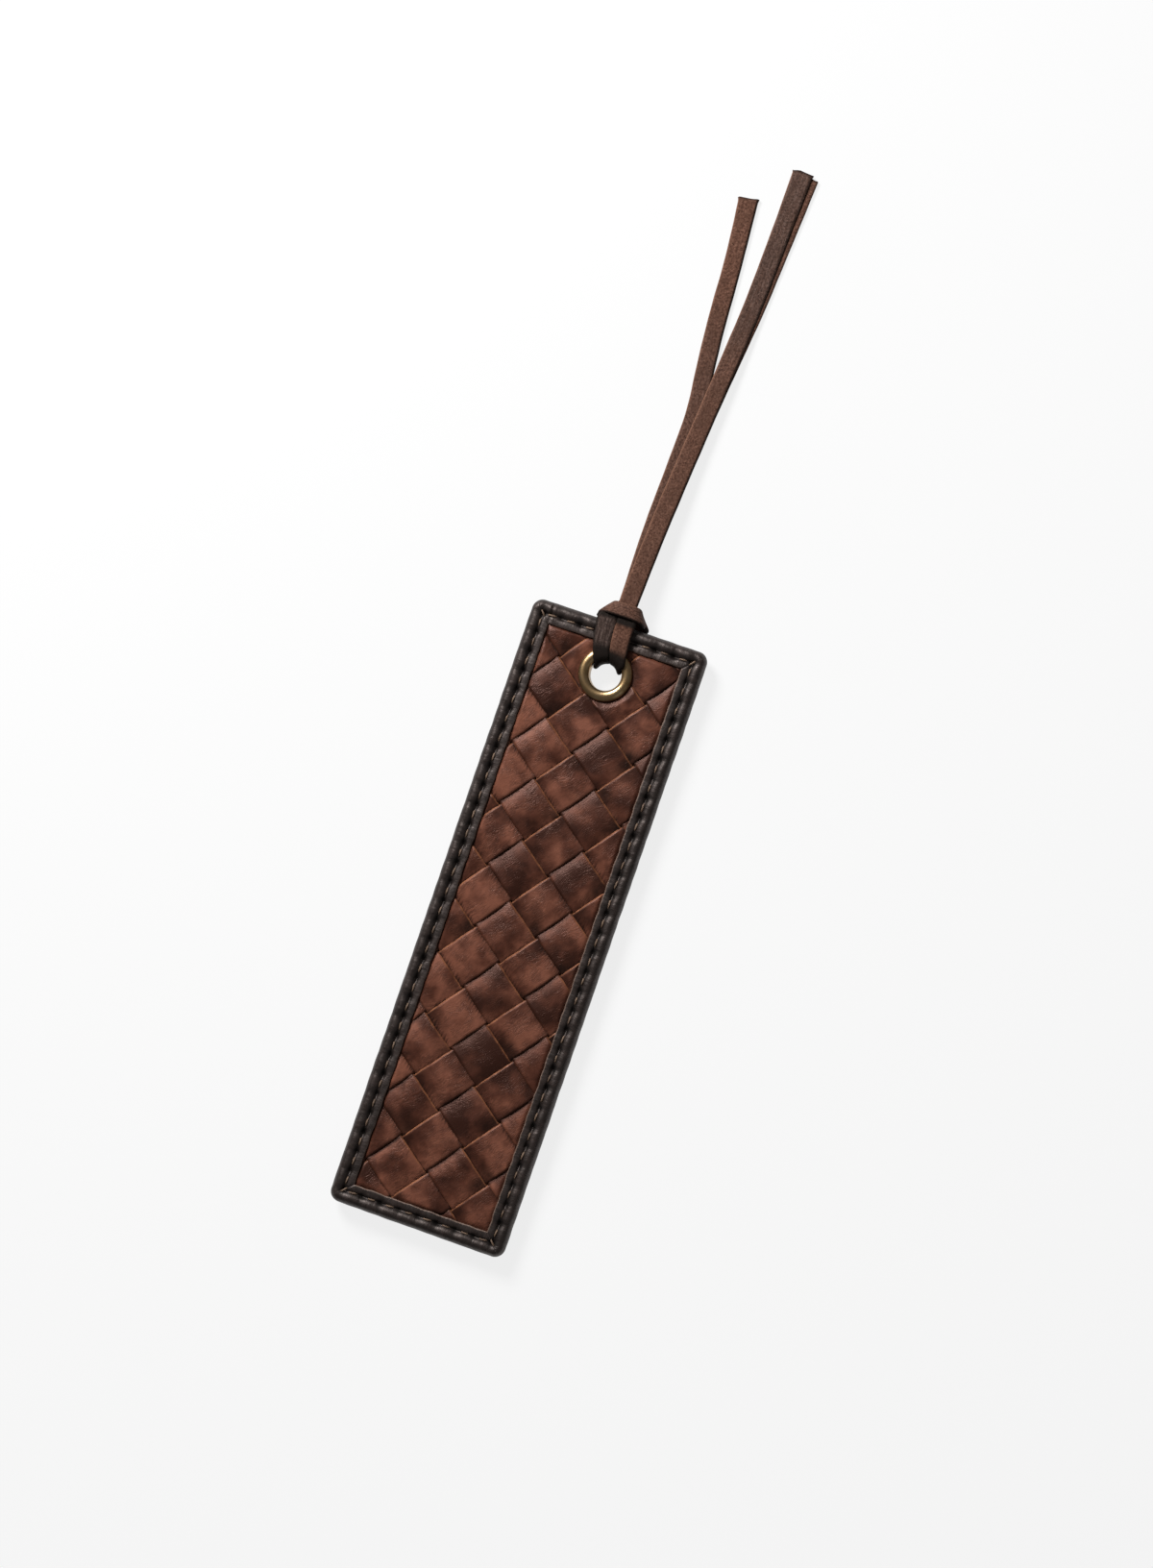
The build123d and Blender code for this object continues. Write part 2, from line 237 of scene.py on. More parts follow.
def slab(top, low, keep=None):
    """Close a top grid and an underside grid into one solid, leaving out the cells not kept."""
    rows, columns = top.shape[:2]
    count = rows * columns
    index = np.arange(count).reshape(rows, columns)
    cells = np.stack([index[:-1, :-1], index[1:, :-1], index[1:, 1:], index[:-1, 1:]], -1)
    cells = cells[keep] if keep is not None else cells.reshape(-1, 4)
    starts = cells.reshape(-1)
    ends = np.roll(cells, -1, axis=1).reshape(-1)
    border = ~np.isin(starts * count + ends, ends * count + starts)
    first, second = starts[border], ends[border]
    sides = np.stack([second, first, first + count, second + count], -1)
    faces = np.concatenate([cells, cells[:, ::-1] + count, sides])
    return np.concatenate([top.reshape(-1, 3), low.reshape(-1, 3)]), faces


def on_both(values):
    """A grid's values for a slab: once for its top and once for its underside."""
    flat = values.reshape(-1, 3) if values.ndim == 3 else values.reshape(-1)
    return np.concatenate([flat, flat])


def ring_faces(rows, columns):
    """Faces of a grid that closes on itself both ways, like the skin of a ring."""
    index = np.arange(rows * columns).reshape(rows, columns)
    beside = np.roll(index, -1, axis=0)
    faces = np.stack([index, beside, np.roll(beside, -1, axis=1), np.roll(index, -1, axis=1)], -1)
    return faces.reshape(-1, 4)


def face_outwards(mesh):
    """Turn a mesh's faces outwards and shade it smooth."""
    work = bmesh.new()
    work.from_mesh(mesh)
    bmesh.ops.recalc_face_normals(work, faces=work.faces)
    work.to_mesh(mesh)
    work.free()
    mesh.shade_smooth()


def make_piece(name, points, faces, paint, attributes=None):
    """Make an object at the origin from points in millimetres, with attributes on its points."""
    used = np.unique(faces)
    places = np.full(len(points), -1)
    places[used] = np.arange(len(used))
    mesh = bpy.data.meshes.new(name)
    mesh.from_pydata((points[used] * MM).tolist(), [], places[faces].tolist())
    for key, values in (attributes or {}).items():
        values = np.asarray(values, np.float32)[used]
        if values.ndim == 2:
            mesh.attributes.new(key, "FLOAT_VECTOR", "POINT").data.foreach_set("vector", values.ravel())
        else:
            mesh.attributes.new(key, "FLOAT", "POINT").data.foreach_set("value", values)
    mesh.materials.append(paint)
    face_outwards(mesh)
    piece = bpy.data.objects.new(name, mesh)
    scene.collection.objects.link(piece)
    return piece


def settle(piece, body, slot, *stands_for):
    """Let a finished piece ride on a body and stand for CAD nodes. Its slot is not used."""
    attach(piece, body)
    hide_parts(*stands_for)


print("mesh helpers ready")

# %% [markdown]
# The leathers share a pattern: a broad change of tone, fine wrinkles, and a rough or glossy skin.
# A picture could be wrapped on, but procedural noise needs none and never runs out. Most of them read a
# "grain" attribute in millimetres, laid along the piece, so the wrinkles follow the leather and not the room.

# %% Helpers that make patterns


def finish(name):
    """Start a material with one shader, and return it with its tree and that shader."""
    paint = bpy.data.materials.new(name)
    paint.use_nodes = True
    paint.node_tree.nodes.clear()
    skin = paint.node_tree.nodes.new("ShaderNodeBsdfPrincipled")
    node(paint.node_tree, "ShaderNodeOutputMaterial", {"Surface": skin.outputs[0]})
    return paint, paint.node_tree, skin


def read(tree, key, vector=False):
    """Read an attribute that is stored on the piece's points."""
    made = node(tree, "ShaderNodeAttribute", attribute_name=key)
    return made.outputs["Vector"] if vector else made.outputs["Fac"]


def stretch(vector, scale):
    """Scale a pattern's coordinates, by one number for each axis."""
    return node(vector.id_data, "ShaderNodeMapping", {"Vector": vector, "Scale": scale}).outputs[0]


def in_millimetres(tree):
    """The object's own coordinates, in millimetres."""
    return stretch(node(tree, "ShaderNodeTexCoord").outputs["Object"], (1 / MM, 1 / MM, 1 / MM))


def noise(vector, scale, detail=3.0, rough=0.55, distortion=0.0):
    """Cloudy noise from 0 to 1."""
    made = node(vector.id_data, "ShaderNodeTexNoise", {"Vector": vector, "Scale": scale, "Detail": detail})
    fill(made, {"Roughness": rough, "Distortion": distortion})
    return made.outputs[0]


def warped(vector, scale, amount):
    """Bend a pattern's coordinates with coloured noise."""
    tree = vector.id_data
    cloud = node(tree, "ShaderNodeTexNoise", {"Vector": vector, "Scale": scale, "Detail": 2.0}).outputs[1]
    shift = node(tree, "ShaderNodeVectorMath", {0: cloud, 1: (0.5, 0.5, 0.5)}, operation="SUBTRACT")
    shift = node(tree, "ShaderNodeVectorMath", {0: shift.outputs[0], 3: amount}, operation="SCALE")
    return node(tree, "ShaderNodeVectorMath", {0: vector, 1: shift.outputs[0]}, operation="ADD").outputs[0]


def spread(value, low, high, to_low=0.0, to_high=1.0):
    """Map one range of values to another, and clamp it."""
    made = node(value.id_data, "ShaderNodeMapRange", {"Value": value, "From Min": low, "From Max": high})
    fill(made, {"To Min": to_low, "To Max": to_high})
    return made.outputs[0]


def valleys(value, width):
    """Rounded islands parted by thin valleys: 0 where a noise passes its middle value, 1 away from it."""
    return spread(calc("ABSOLUTE", calc("SUBTRACT", value, 0.5)), 0.0, width)


def waves(vector, scale, distortion):
    """Parallel waves that run along the first coordinate and wander sideways, like a fingerprint."""
    made = node(vector.id_data, "ShaderNodeTexWave", {"Vector": vector, "Scale": scale}, bands_direction="Y")
    fill(made, {"Distortion": distortion, "Detail": 4.0, "Detail Scale": 1.3, "Detail Roughness": 0.6})
    return made.outputs["Fac"]


print("pattern helpers ready")

# %% [markdown]
# A pattern becomes a finish in three ways: a ramp turns its values into colours, a mix lays one colour over
# another, and a bump raises the surface for its shading.

# %% Helpers that colour a finish


def ramp(value, *stops):
    """Turn a value into a colour, through stops of (place, (red, green, blue))."""
    made = node(value.id_data, "ShaderNodeValToRGB", {"Fac": value})
    points = made.color_ramp.elements
    while len(points) < len(stops):
        points.new(0.5)
    for point, (place, color) in zip(points, stops):
        point.position = place
        point.color = (*color, 1.0)
    return made.outputs[0]


def mix(factor, first, second):
    """Mix two colours."""
    made = node(factor.id_data, "ShaderNodeMix", data_type="RGBA")
    for number, value in ((0, factor), (6, first), (7, second)):
        plug(made.inputs[number], (*value, 1.0) if isinstance(value, tuple) else value)
    return made.outputs[2]


def bump(height, depth, strength, under=None):
    """Raise a surface by a height in millimetres, for its shading only."""
    made = node(height.id_data, "ShaderNodeBump", {"Height": height, "Distance": depth * MM})
    plug(made.inputs["Strength"], strength)
    if under is not None:
        plug(made.inputs["Normal"], under)
    return made.outputs[0]


print("colour helpers ready")

# %% [markdown]
# The plait's leather is a warm brown with a waxy skin. It is wrinkled along one slant, some of its squares
# have a corner that is nearly black, and its cut edges show the raw, orange hide, painted on the rising
# strips only where the edge faces the light, so partly a painted highlight. Painted shade darkens the gaps
# where squares meet and the squares that lie below. The squares differ a little in tone, as strips cut from
# one hide do, and painted light and shade change the tone along each square.

# %% Plait leather
plait_leather, tree, skin = finish("plait_leather")
grain = read(tree, "grain", vector=True)
folds = stretch(warped(grain, 0.16, 4.5), (0.42, 1.2, 1.0))
wrinkles = valleys(noise(folds, 1.0, 4.0, 0.55), 0.13)
flow = stretch(warped(grain, 0.2, 4.0), (0.3, 1.0, 1.0))
fine = waves(flow, 0.80, 8.0)
patches = spread(noise(grain, 0.3, 2.0), 0.4, 0.62, 0.25, 1.0)
cloud = noise(grain, 0.18, 3.0, 0.5)
tone = calc("MULTIPLY_ADD", cloud, 1.5, -0.25)
# The tone attribute holds each square's own tone and the painted light and shade along it.
tone = calc("ADD", tone, times(read(tree, "tone"), 0.34))
hide = ramp(tone, (0.26, (0.026, 0.0082, 0.0050)), (0.5, (0.080, 0.0258, 0.0150)),
            (0.80, (0.200, 0.0720, 0.0430)))
creased = times(spread(wrinkles, 0.0, 1.0, 0.45, 0.0), patches)
hide = mix(creased, hide, (0.022, 0.0072, 0.0044))
lined = times(spread(fine, 0.1, 0.9, 0.36, 0.0), patches)
hide = mix(lined, hide, (0.026, 0.0086, 0.0052))
# Painted shade in the gaps and on the squares below, and the nearly black corners, broken up by noise.
dark_patchiness = spread(noise(grain, 0.45, 4.0, 0.6), 0.3, 0.62, 0.5, 1.0)
hide = mix(times(read(tree, "shade_and_dark_corners"), dark_patchiness), hide, (0.0042, 0.0022, 0.0016))
rubbed = spread(noise(grain, 0.7), 0.3, 0.62, 0.25, 1.0)
# The raw edge colour; on the rising strips it is painted only where the edge faces the light.
hide = mix(times(read(tree, "edge"), rubbed), hide, (0.28, 0.110, 0.052))
relief = bump(times(wrinkles, patches), 0.036, 0.7)
relief = bump(times(fine, patches), 0.020, 0.75, under=relief)
rough = spread(cloud, 0.3, 0.7, 0.37, 0.49)
fill(skin, {"Base Color": hide, "Roughness": rough, "Normal": relief, "Specular IOR Level": 0.41,
            "Specular Tint": (1.0, 0.58, 0.48, 1.0)})
print("made", plait_leather.name)

# %% [markdown]
# Two things on this bookmark follow a rule and are made by Geometry Nodes: the weave and the stitches. Both
# trees begin and end alike, so helpers do that: named inputs with a first value, an attribute read from the
# points, and a result with real copies and a material. Another runs a tree on a piece and keeps the mesh.

# %% Helpers that make node trees
socket_kinds = {float: "NodeSocketFloat", int: "NodeSocketInt", type(None): "NodeSocketObject"}


def start_tree(name, inputs):
    """Start a Geometry Nodes tree: a geometry in and out, and inputs by name with their first values."""
    made = bpy.data.node_groups.new(name, "GeometryNodeTree")
    made.interface.new_socket("Geometry", in_out="INPUT", socket_type="NodeSocketGeometry")
    for key, value in inputs.items():
        socket = made.interface.new_socket(key, in_out="INPUT", socket_type=socket_kinds[type(value)])
        if value is not None:
            socket.default_value = value
    made.interface.new_socket("Geometry", in_out="OUTPUT", socket_type="NodeSocketGeometry")
    print(name, "takes", list(inputs))
    return made, node(made, "NodeGroupInput").outputs


def stored(tree, key, kind="FLOAT"):
    """Read an attribute of the geometry that passes through the tree."""
    return node(tree, "GeometryNodeInputNamedAttribute", {"Name": key}, data_type=kind).outputs[0]


def end_tree(geometry, paint):
    """End a tree: make its copies real, give them a material, and put them out."""
    tree = geometry.id_data
    whole = node(tree, "GeometryNodeRealizeInstances", {"Geometry": geometry})
    painted = node(tree, "GeometryNodeSetMaterial", {"Geometry": whole.outputs[0], "Material": paint})
    node(tree, "NodeGroupOutput", {"Geometry": painted.outputs[0]})


def shape_with(piece, group, **values):
    """Run a node tree on a piece and keep the result as the piece's plain mesh."""
    modifier = piece.modifiers.new("shape", "NODES")
    modifier.node_group = group
    for item in group.interface.items_tree:
        if item.item_type == "SOCKET" and item.in_out == "INPUT" and item.name in values:
            modifier[item.identifier] = values[item.name]
    result = bpy.data.meshes.new_from_object(piece.evaluated_get(bpy.context.evaluated_depsgraph_get()))
    piece.modifiers.remove(modifier)
    piece.data = result
    result.shade_smooth()
    return piece


print("tree helpers ready")

# %% [markdown]
# The plait is the bookmark's main piece, and its shape follows a rule: over one, under one. So a node tree
# weaves it. Each strip is first cut flat, along its own slant, with worn edges. The tree then lifts its
# points by a rounded wave of their distance along the strip, and crowns the squares that lie on top. The
# strip's parity says where the wave starts, so crossing strips always take opposite turns.

# %% A node tree that weaves a strip
strip_pitch = 9.5
strip_width = 9.2
weave, given = start_tree("weave_strip", {
    "Pitch": strip_pitch, "Parity": 0.0, "Rise": 0.52, "Firmness": 1.3, "Lift": 0.22, "Crown": 0.12,
    "Width": strip_width, "Waver": 0.22, "Pressed level": 0.2})
turns = calc("ADD", calc("DIVIDE", stored(weave, "along"), given["Pitch"]), given["Parity"])
wave = times(calc("COSINE", times(turns, math.pi)), given["Firmness"])
wave = calc("DIVIDE", calc("TANH", wave), calc("TANH", given["Firmness"]))
share = calc("DIVIDE", stored(weave, "across"), times(given["Width"], 0.5))
arch = calc("SUBTRACT", 1.0, times(share, share))
crown = times(arch, calc("MAXIMUM", wave, 0.0), given["Crown"])
cloud = node(weave, "ShaderNodeTexNoise", {"Scale": 240.0, "Detail": 1.0}).outputs[0]
waver = times(calc("SUBTRACT", cloud, 0.5), given["Waver"])
lift = calc("MULTIPLY_ADD", wave, given["Rise"], given["Lift"])
lift = calc("ADD", calc("ADD", lift, crown), waver)
pressed = stored(weave, "pressed")
held = times(calc("MINIMUM", lift, given["Pressed level"]), pressed)
free = times(lift, calc("SUBTRACT", 1.0, pressed))
lift = times(calc("ADD", held, free), MM)
shift = node(weave, "ShaderNodeCombineXYZ", {"Z": lift}).outputs[0]
moved = node(weave, "GeometryNodeSetPosition", {"Geometry": given["Geometry"], "Offset": shift})
end_tree(moved.outputs[0], plait_leather)

# %% [markdown]
# A strip is a grid of points: rows across its width, close together at the worn edges, and columns along it.
# It is trimmed where the binding covers it. Its tones are numbers on its points. Where a strip lies on top,
# each square has its own luck: how pale it is, and whether a corner is nearly black. Light and shade are
# painted over that: on a falling strip the lower end of a square is palest, with a painted highlight at its
# upper end, and on a rising one its lower right side. A painted shadow lines the gaps, and where a strip
# lies below, it is painted dark, as shade.

# %% Helpers that cut a strip
rising_angle = math.radians(53.0)
rising_way = np.array([math.cos(rising_angle), math.sin(rising_angle)])
falling_way = np.array([math.sin(rising_angle), -math.cos(rising_angle)])
plait_middle = 0.55
half_thickness = 0.25
trim = np.array([16.5, 65.0])
window = np.array([15.2, 63.7])
eyelet_middle = np.array([0.0, 57.3])
hole_radius = 4.35
column_step = 0.34
shortest_row = 0.5
from_edge = np.array([0.0, 0.04, 0.10, 0.18, 0.28, 0.42, 0.62, 0.95, 1.5, 2.3, 3.2, 4.0])
rows_across = np.concatenate([from_edge - strip_width / 2, [0.0], (strip_width / 2 - from_edge)[::-1]])


def chord(origin, way, across_way, across):
    """Where a line along a strip enters and leaves the trimmed rectangle."""
    start = origin + across_way * across
    ends = np.sort([(side * trim - start) / way for side in (-1, 1)], axis=0)
    return ends[0].max(), ends[1].min()


def cut_flat(origin, way, number):
    """Cut one strip flat: its places along and across itself, and its points in the panel's plane."""
    across_way = np.array([-way[1], way[0]])
    spans = [(across, *chord(origin, way, across_way, across)) for across in rows_across]
    across, low, high = np.array([span for span in spans if span[2] - span[1] > shortest_row]).T
    columns = max(6, int((high - low).max() / column_step))
    along = low[:, None] + (high - low)[:, None] * np.linspace(0.0, 1.0, columns)[None, :]
    across = np.repeat(across[:, None], columns, axis=1)
    edge_wander = 0.10 * ripple(along, 40 + number, 9.0)
    return along, across, origin + along[..., None] * way + (across + edge_wander)[..., None] * across_way


def strip_tones(along, across, flat, parity, number, falls):
    """How pale a strip is, with painted light and shade, where its corners are nearly black, and how raw it
    is, at each point.
    """
    crossing = np.round(along / strip_pitch).astype(int)
    place = along / strip_pitch - crossing
    over = (crossing + parity) % 2 == 0
    luck = np.random.default_rng(100 + number).uniform(-1.0, 1.0, (64, 3))[(crossing + 32) % 64]
    corner_luck = np.abs(luck[..., 2]) + 0.015 * flat[..., 0]
    # The gap is a painted shadow: a dark line where a falling square comes out from under its neighbour, and
    # along a rising square's lower right edge.
    if falls:
        low_end = place
        gap = 1.0 - smooth_step(-0.475, -0.445, place)
        # Painted light: a falling square is paler towards its lower end, with a narrow painted highlight at
        # its upper end.
        light = 2.6 * np.maximum(place, 0.0) ** 2 - 0.15 + 0.3 * (1.0 - smooth_step(-0.5, -0.34, place))
        light += 0.03 * across * smooth_step(-0.4, -0.1, place)
        rawness = np.where(across > 0, 0.75, 0.05)
    else:
        low_end = -place
        corner_luck -= 0.3
        gap = 0.4 * smooth_step(3.4, 4.6, -across)
        # Painted light and shade: a rising square is darker towards both ends and paler towards its lower
        # right side, less so at that edge.
        light = 0.36 - 0.10 * across - 0.25 * smooth_step(2.0, 4.2, -across) - 1.7 * place ** 2
        # Only the edge that faces the light shows the raw colour, a painted highlight on the raw hide.
        rawness = np.where(across > 0, 1.0, 0.0)
    # Some squares get a nearly black corner at their lower end, more of them towards the panel's right.
    corner_side = np.where(luck[..., 2] > 0.0, across, -across)
    corner = smooth_step(0.12, 0.42, low_end) * smooth_step(-1.5, 3.2, corner_side)
    corner *= smooth_step(0.30, 0.50, corner_luck)
    inward = strip_width / 2 - np.abs(across) + 0.08 * ripple(along, 60 + number, 3.0)
    # Painted shade: a square that lies below is dark all over, and the whole plait is painted a little darker
    # towards its right side.
    return {"shade_and_dark_corners": np.where(over, np.maximum(corner, gap), 1.0) * 0.95,
            "tone": luck[..., 1] * 0.48 + light - 0.012 * flat[..., 0],
            "edge": (1.0 - smooth_step(0.10, 0.42, inward)) * rawness * over}


print("rows across a strip", len(rows_across))

# %% [markdown]
# Now the strips are cut and woven. Fourteen fall to the right and eleven rise to the right, one pitch apart,
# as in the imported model. Cells inside the eyelet's hole are left out, and "pressed" marks where the binding
# and the eyelet hold the leather down.

# %% Cut and weave the strips
plait_start = np.array([-6.0, 24.65])


def cut_strip(name, origin, way, parity, number, falls):
    """Cut one strip, give it its tones, weave it, and return it."""
    along, across, flat = cut_flat(origin, way, number)
    inward = strip_width / 2 - np.abs(across)
    worn = 0.34 * np.clip(1.0 - inward / 0.5, 0.0, 1.0) ** 2
    top = np.dstack([flat, plait_middle + half_thickness - worn])
    underside = np.dstack([flat, np.full_like(worn, plait_middle - half_thickness)])
    outside = (np.abs(flat) - window).max(axis=-1)
    ring = np.linalg.norm(flat - eyelet_middle, axis=-1)
    marks = strip_tones(along, across, flat, parity, number, falls)
    marks["along"] = along
    marks["across"] = across
    marks["pressed"] = np.maximum(smooth_step(-0.7, 0.3, outside), 1.0 - smooth_step(5.9, 7.4, ring))
    marks["grain"] = np.dstack([flat @ rising_way, flat @ falling_way, np.full_like(along, 7.3 * number)])
    cell_ring = 0.25 * (ring[:-1, :-1] + ring[1:, :-1] + ring[1:, 1:] + ring[:-1, 1:])
    points, faces = slab(top, underside, cell_ring > hole_radius)
    marks = {key: on_both(mark) for key, mark in marks.items()}
    piece = make_piece(name, points, faces, plait_leather, marks)
    return shape_with(piece, weave, Parity=float(parity), Width=strip_width)


strips = []
for number, step in enumerate(range(-8, 6), start=1):
    origin = plait_start + rising_way * (step * strip_pitch)
    strip = cut_strip(f"leather_falling_{number:02d}", origin, falling_way, step, number, True)
    settle(strip, "panel", "strip_leather", f"falling_strip_{number:02d}")
    strips.append(strip)
for number, step in enumerate(range(-3, 8), start=1):
    origin = plait_start + falling_way * (step * strip_pitch)
    strip = cut_strip(f"leather_rising_{number:02d}", origin, rising_way, step + 1, 20 + number, False)
    settle(strip, "panel", "strip_leather", f"rising_strip_{number:02d}")
    strips.append(strip)
print("strips", len(strips), "faces", sum(len(strip.data.polygons) for strip in strips))

# %% [markdown]
# The binding is a near-black leather strip, folded round the edge and pulled down by the thread. Its skin is
# finer than the plait's and has a soft sheen, with small pleats across the fold. Only its cut inner edge
# shows the brown inside of the hide, painted paler on the two sides that face the light. Painted shade
# darkens the stitch holes, the pinched creases beside them and the groove.

# %% Binding leather
binding_leather, tree, skin = finish("binding_leather")
spot = in_millimetres(tree)
cloud = noise(spot, 0.42, 3.0, 0.55)
pores = noise(warped(spot, 0.9, 0.6), 1.7, 4.0, 0.62)
creases = valleys(noise(warped(spot, 0.6, 1.2), 0.85, 4.0, 0.6), 0.05)
lay = warped(read(tree, "grain", vector=True), 0.5, 0.7)
pleats = noise(stretch(lay, (1.35, 0.32, 1.0)), 1.0, 3.0, 0.6)
hide = ramp(cloud, (0.3, (0.0052, 0.0034, 0.0029)), (0.52, (0.0144, 0.0092, 0.0080)),
            (0.75, (0.0312, 0.0205, 0.0176)))
hide = mix(spread(pores, 0.48, 0.68, 0.0, 0.6), hide, (0.0055, 0.0038, 0.0034))
hide = mix(spread(pleats, 0.36, 0.52, 0.55, 0.0), hide, (0.0048, 0.0033, 0.0029))
# The raw inner edge, painted paler where it faces the light, then painted shade in the stitch holes, creases
# and groove.
hide = mix(read(tree, "edge"), hide, (0.20, 0.130, 0.098))
hide = mix(read(tree, "stitch_shade"), hide, (0.0018, 0.0014, 0.0013))
relief = bump(pores, 0.030, 0.45, under=bump(pleats, 0.16, 0.6))
relief = bump(creases, 0.02, 0.3, under=relief)
rough = spread(pores, 0.3, 0.7, 0.40, 0.60)
fill(skin, {"Base Color": hide, "Roughness": rough, "Normal": relief, "Specular IOR Level": 0.62,
            "Specular Tint": (1.0, 0.84, 0.78, 1.0)})
print("made", binding_leather.name)

# %% [markdown]
# The binding's shape is a section carried round the panel: a puffy roll at the edge, a groove where the
# thread pulls, and a flat lip with a raw edge. Inside is a pocket for the board, the lining and the plait. A
# curve with a bevel would give an even bead, but the real one is pinched at every stitch hole. So the section
# is moved along each side in small steps, and each step is pushed in or out by its distance from the nearest
# hole. The corners meet in mitres, and the strip's two ends overlap near the top left corner.

# %% The binding's section
panel_half = np.array([20.0, 68.5])
corner_radius = 2.5
stitch_inset = 2.9
stitch_counts = (8, 30)
outer_skin = np.array([
    (4.78, 1.00), (4.82, 1.20), (4.83, 1.40), (4.80, 1.56), (4.71, 1.65), (4.52, 1.68), (4.20, 1.69),
    (3.86, 1.69), (3.58, 1.67), (3.38, 1.61), (3.24, 1.53), (3.12, 1.43), (3.00, 1.34), (2.90, 1.30),
    (2.80, 1.33), (2.68, 1.45), (2.54, 1.61), (2.36, 1.78), (2.12, 1.92), (1.86, 2.00), (1.58, 2.02),
    (1.30, 1.98), (1.02, 1.88), (0.76, 1.71), (0.52, 1.47), (0.32, 1.16), (0.16, 0.79), (0.05, 0.38),
    (0.00, -0.04), (0.02, -0.46), (0.12, -0.86), (0.30, -1.20), (0.54, -1.48), (0.84, -1.68), (1.20, -1.79),
    (1.60, -1.82), (2.00, -1.80), (2.32, -1.72), (2.56, -1.60), (2.74, -1.50), (2.90, -1.46), (3.06, -1.50),
    (3.26, -1.62), (3.56, -1.70), (4.00, -1.72), (4.44, -1.69), (4.70, -1.60), (4.80, -1.40), (4.76, -1.09)])
pocket = np.array([(1.62, -1.08), (1.52, 0.00), (1.62, 0.30), (3.40, 0.30), (3.55, 1.00)])
section = np.concatenate([outer_skin, pocket])
section_run = run_along(section)


def side_points(outward, along_way, depth, shares):
    """Points along one side at a depth inside the edge, from mitre to mitre, and their place along it."""
    half = abs(panel_half @ along_way)
    inset = max(corner_radius, depth)
    radius = max(corner_radius - depth, 0.0)
    straight = half - inset
    arc = radius * math.pi / 4
    run = shares * 2 * (straight + arc)
    from_middle = run - arc - straight
    flat = np.clip(from_middle, -straight, straight)
    turn = (from_middle - flat) / radius if radius > 0 else np.zeros_like(run)
    core = outward * (abs(panel_half @ outward) - inset) + along_way * flat[:, None]
    points = core + radius * (np.cos(turn)[:, None] * outward + np.sin(turn)[:, None] * along_way)
    return points, points @ along_way, np.minimum(run, 2 * (straight + arc) - run)


def pinch_at(along, half, count, seed):
    """How near each place is to a stitch hole, in a narrow and in a wide measure, with uneven force."""
    run = 2 * (half - stitch_inset)
    holes = np.linspace(-run / 2, run / 2, count + 1)
    force = np.random.default_rng(seed).uniform(0.65, 1.25, count + 1)
    nearest = np.argmin(np.abs(along[:, None] - holes[None, :]), axis=1)
    away = along - holes[nearest]
    return hill(away, 0.0, 0.75) * force[nearest], hill(away, 0.0, 1.15) * force[nearest]


print("points in the section", len(section))

# %% [markdown]
# Three things are worked out at each point of the section and each step along a side: how deep the thread and
# the seam pull it in, how far the edge wanders, and its painted light and shade there: a paler raw edge on
# the sides that face the light, and painted shade in the holes, the creases and the groove.

# %% Shape the binding
seam_x = -15.5
step_along = 0.27
lip_start = 4.3
sides = [((0, -1), (1, 0)), ((1, 0), (0, 1)), ((0, 1), (-1, 0)), ((-1, 0), (0, -1))]


def sink_at(depth, height, along, from_mitre, tight, wide, number):
    """How deep the binding's skin is pulled in by the stitches and the mitres, less its lumps."""
    # Most at the thread line, less on both slopes of the roll and on the lip, and a line in each mitre.
    pull = 0.62 * hill(depth, stitch_inset, 0.45) * tight + 0.17 * hill(depth, 2.1, 0.60) * wide
    pull += 0.11 * hill(depth, 1.4, 0.75) * tight + 0.10 * hill(depth, 3.65, 0.50) * wide
    pull += 0.22 * hill(from_mitre, 0.0, 0.16) * smooth_step(1.6, 3.2, depth)
    lumps = 0.045 * ripple(along + 3 * depth, 21 + number, 6.0) + 0.055 * ripple(along, 31 + number, 2.2)
    pull_of_face = 1.0 if height > 0 else 0.35
    return (pull * pull_of_face - lumps) * min(1.0, abs(height) / 1.4)


def wander_at(depth, along, wide, number):
    """How far the edge, or the lip's raw edge, wanders inwards."""
    if depth > lip_start:
        return 0.10 * ripple(along, 71 + number, 5.0) - 0.10 * wide
    return 0.05 * ripple(along, 51 + number, 11.0) + 0.05 * wide * hill(depth, 0.2, 0.5)


def seam_at(x, depth):
    """How deep the skin goes in beside the seam: one end swells over the other, with a dark line between."""
    off_seam = x - seam_x
    rolled = 1.0 - smooth_step(2.3, 3.0, depth)
    swell = rolled * 0.22 * smooth_step(-1.6, -0.1, off_seam) * (off_seam < 0.0)
    return 0.36 * hill(off_seam, 0.14, 0.13) - swell


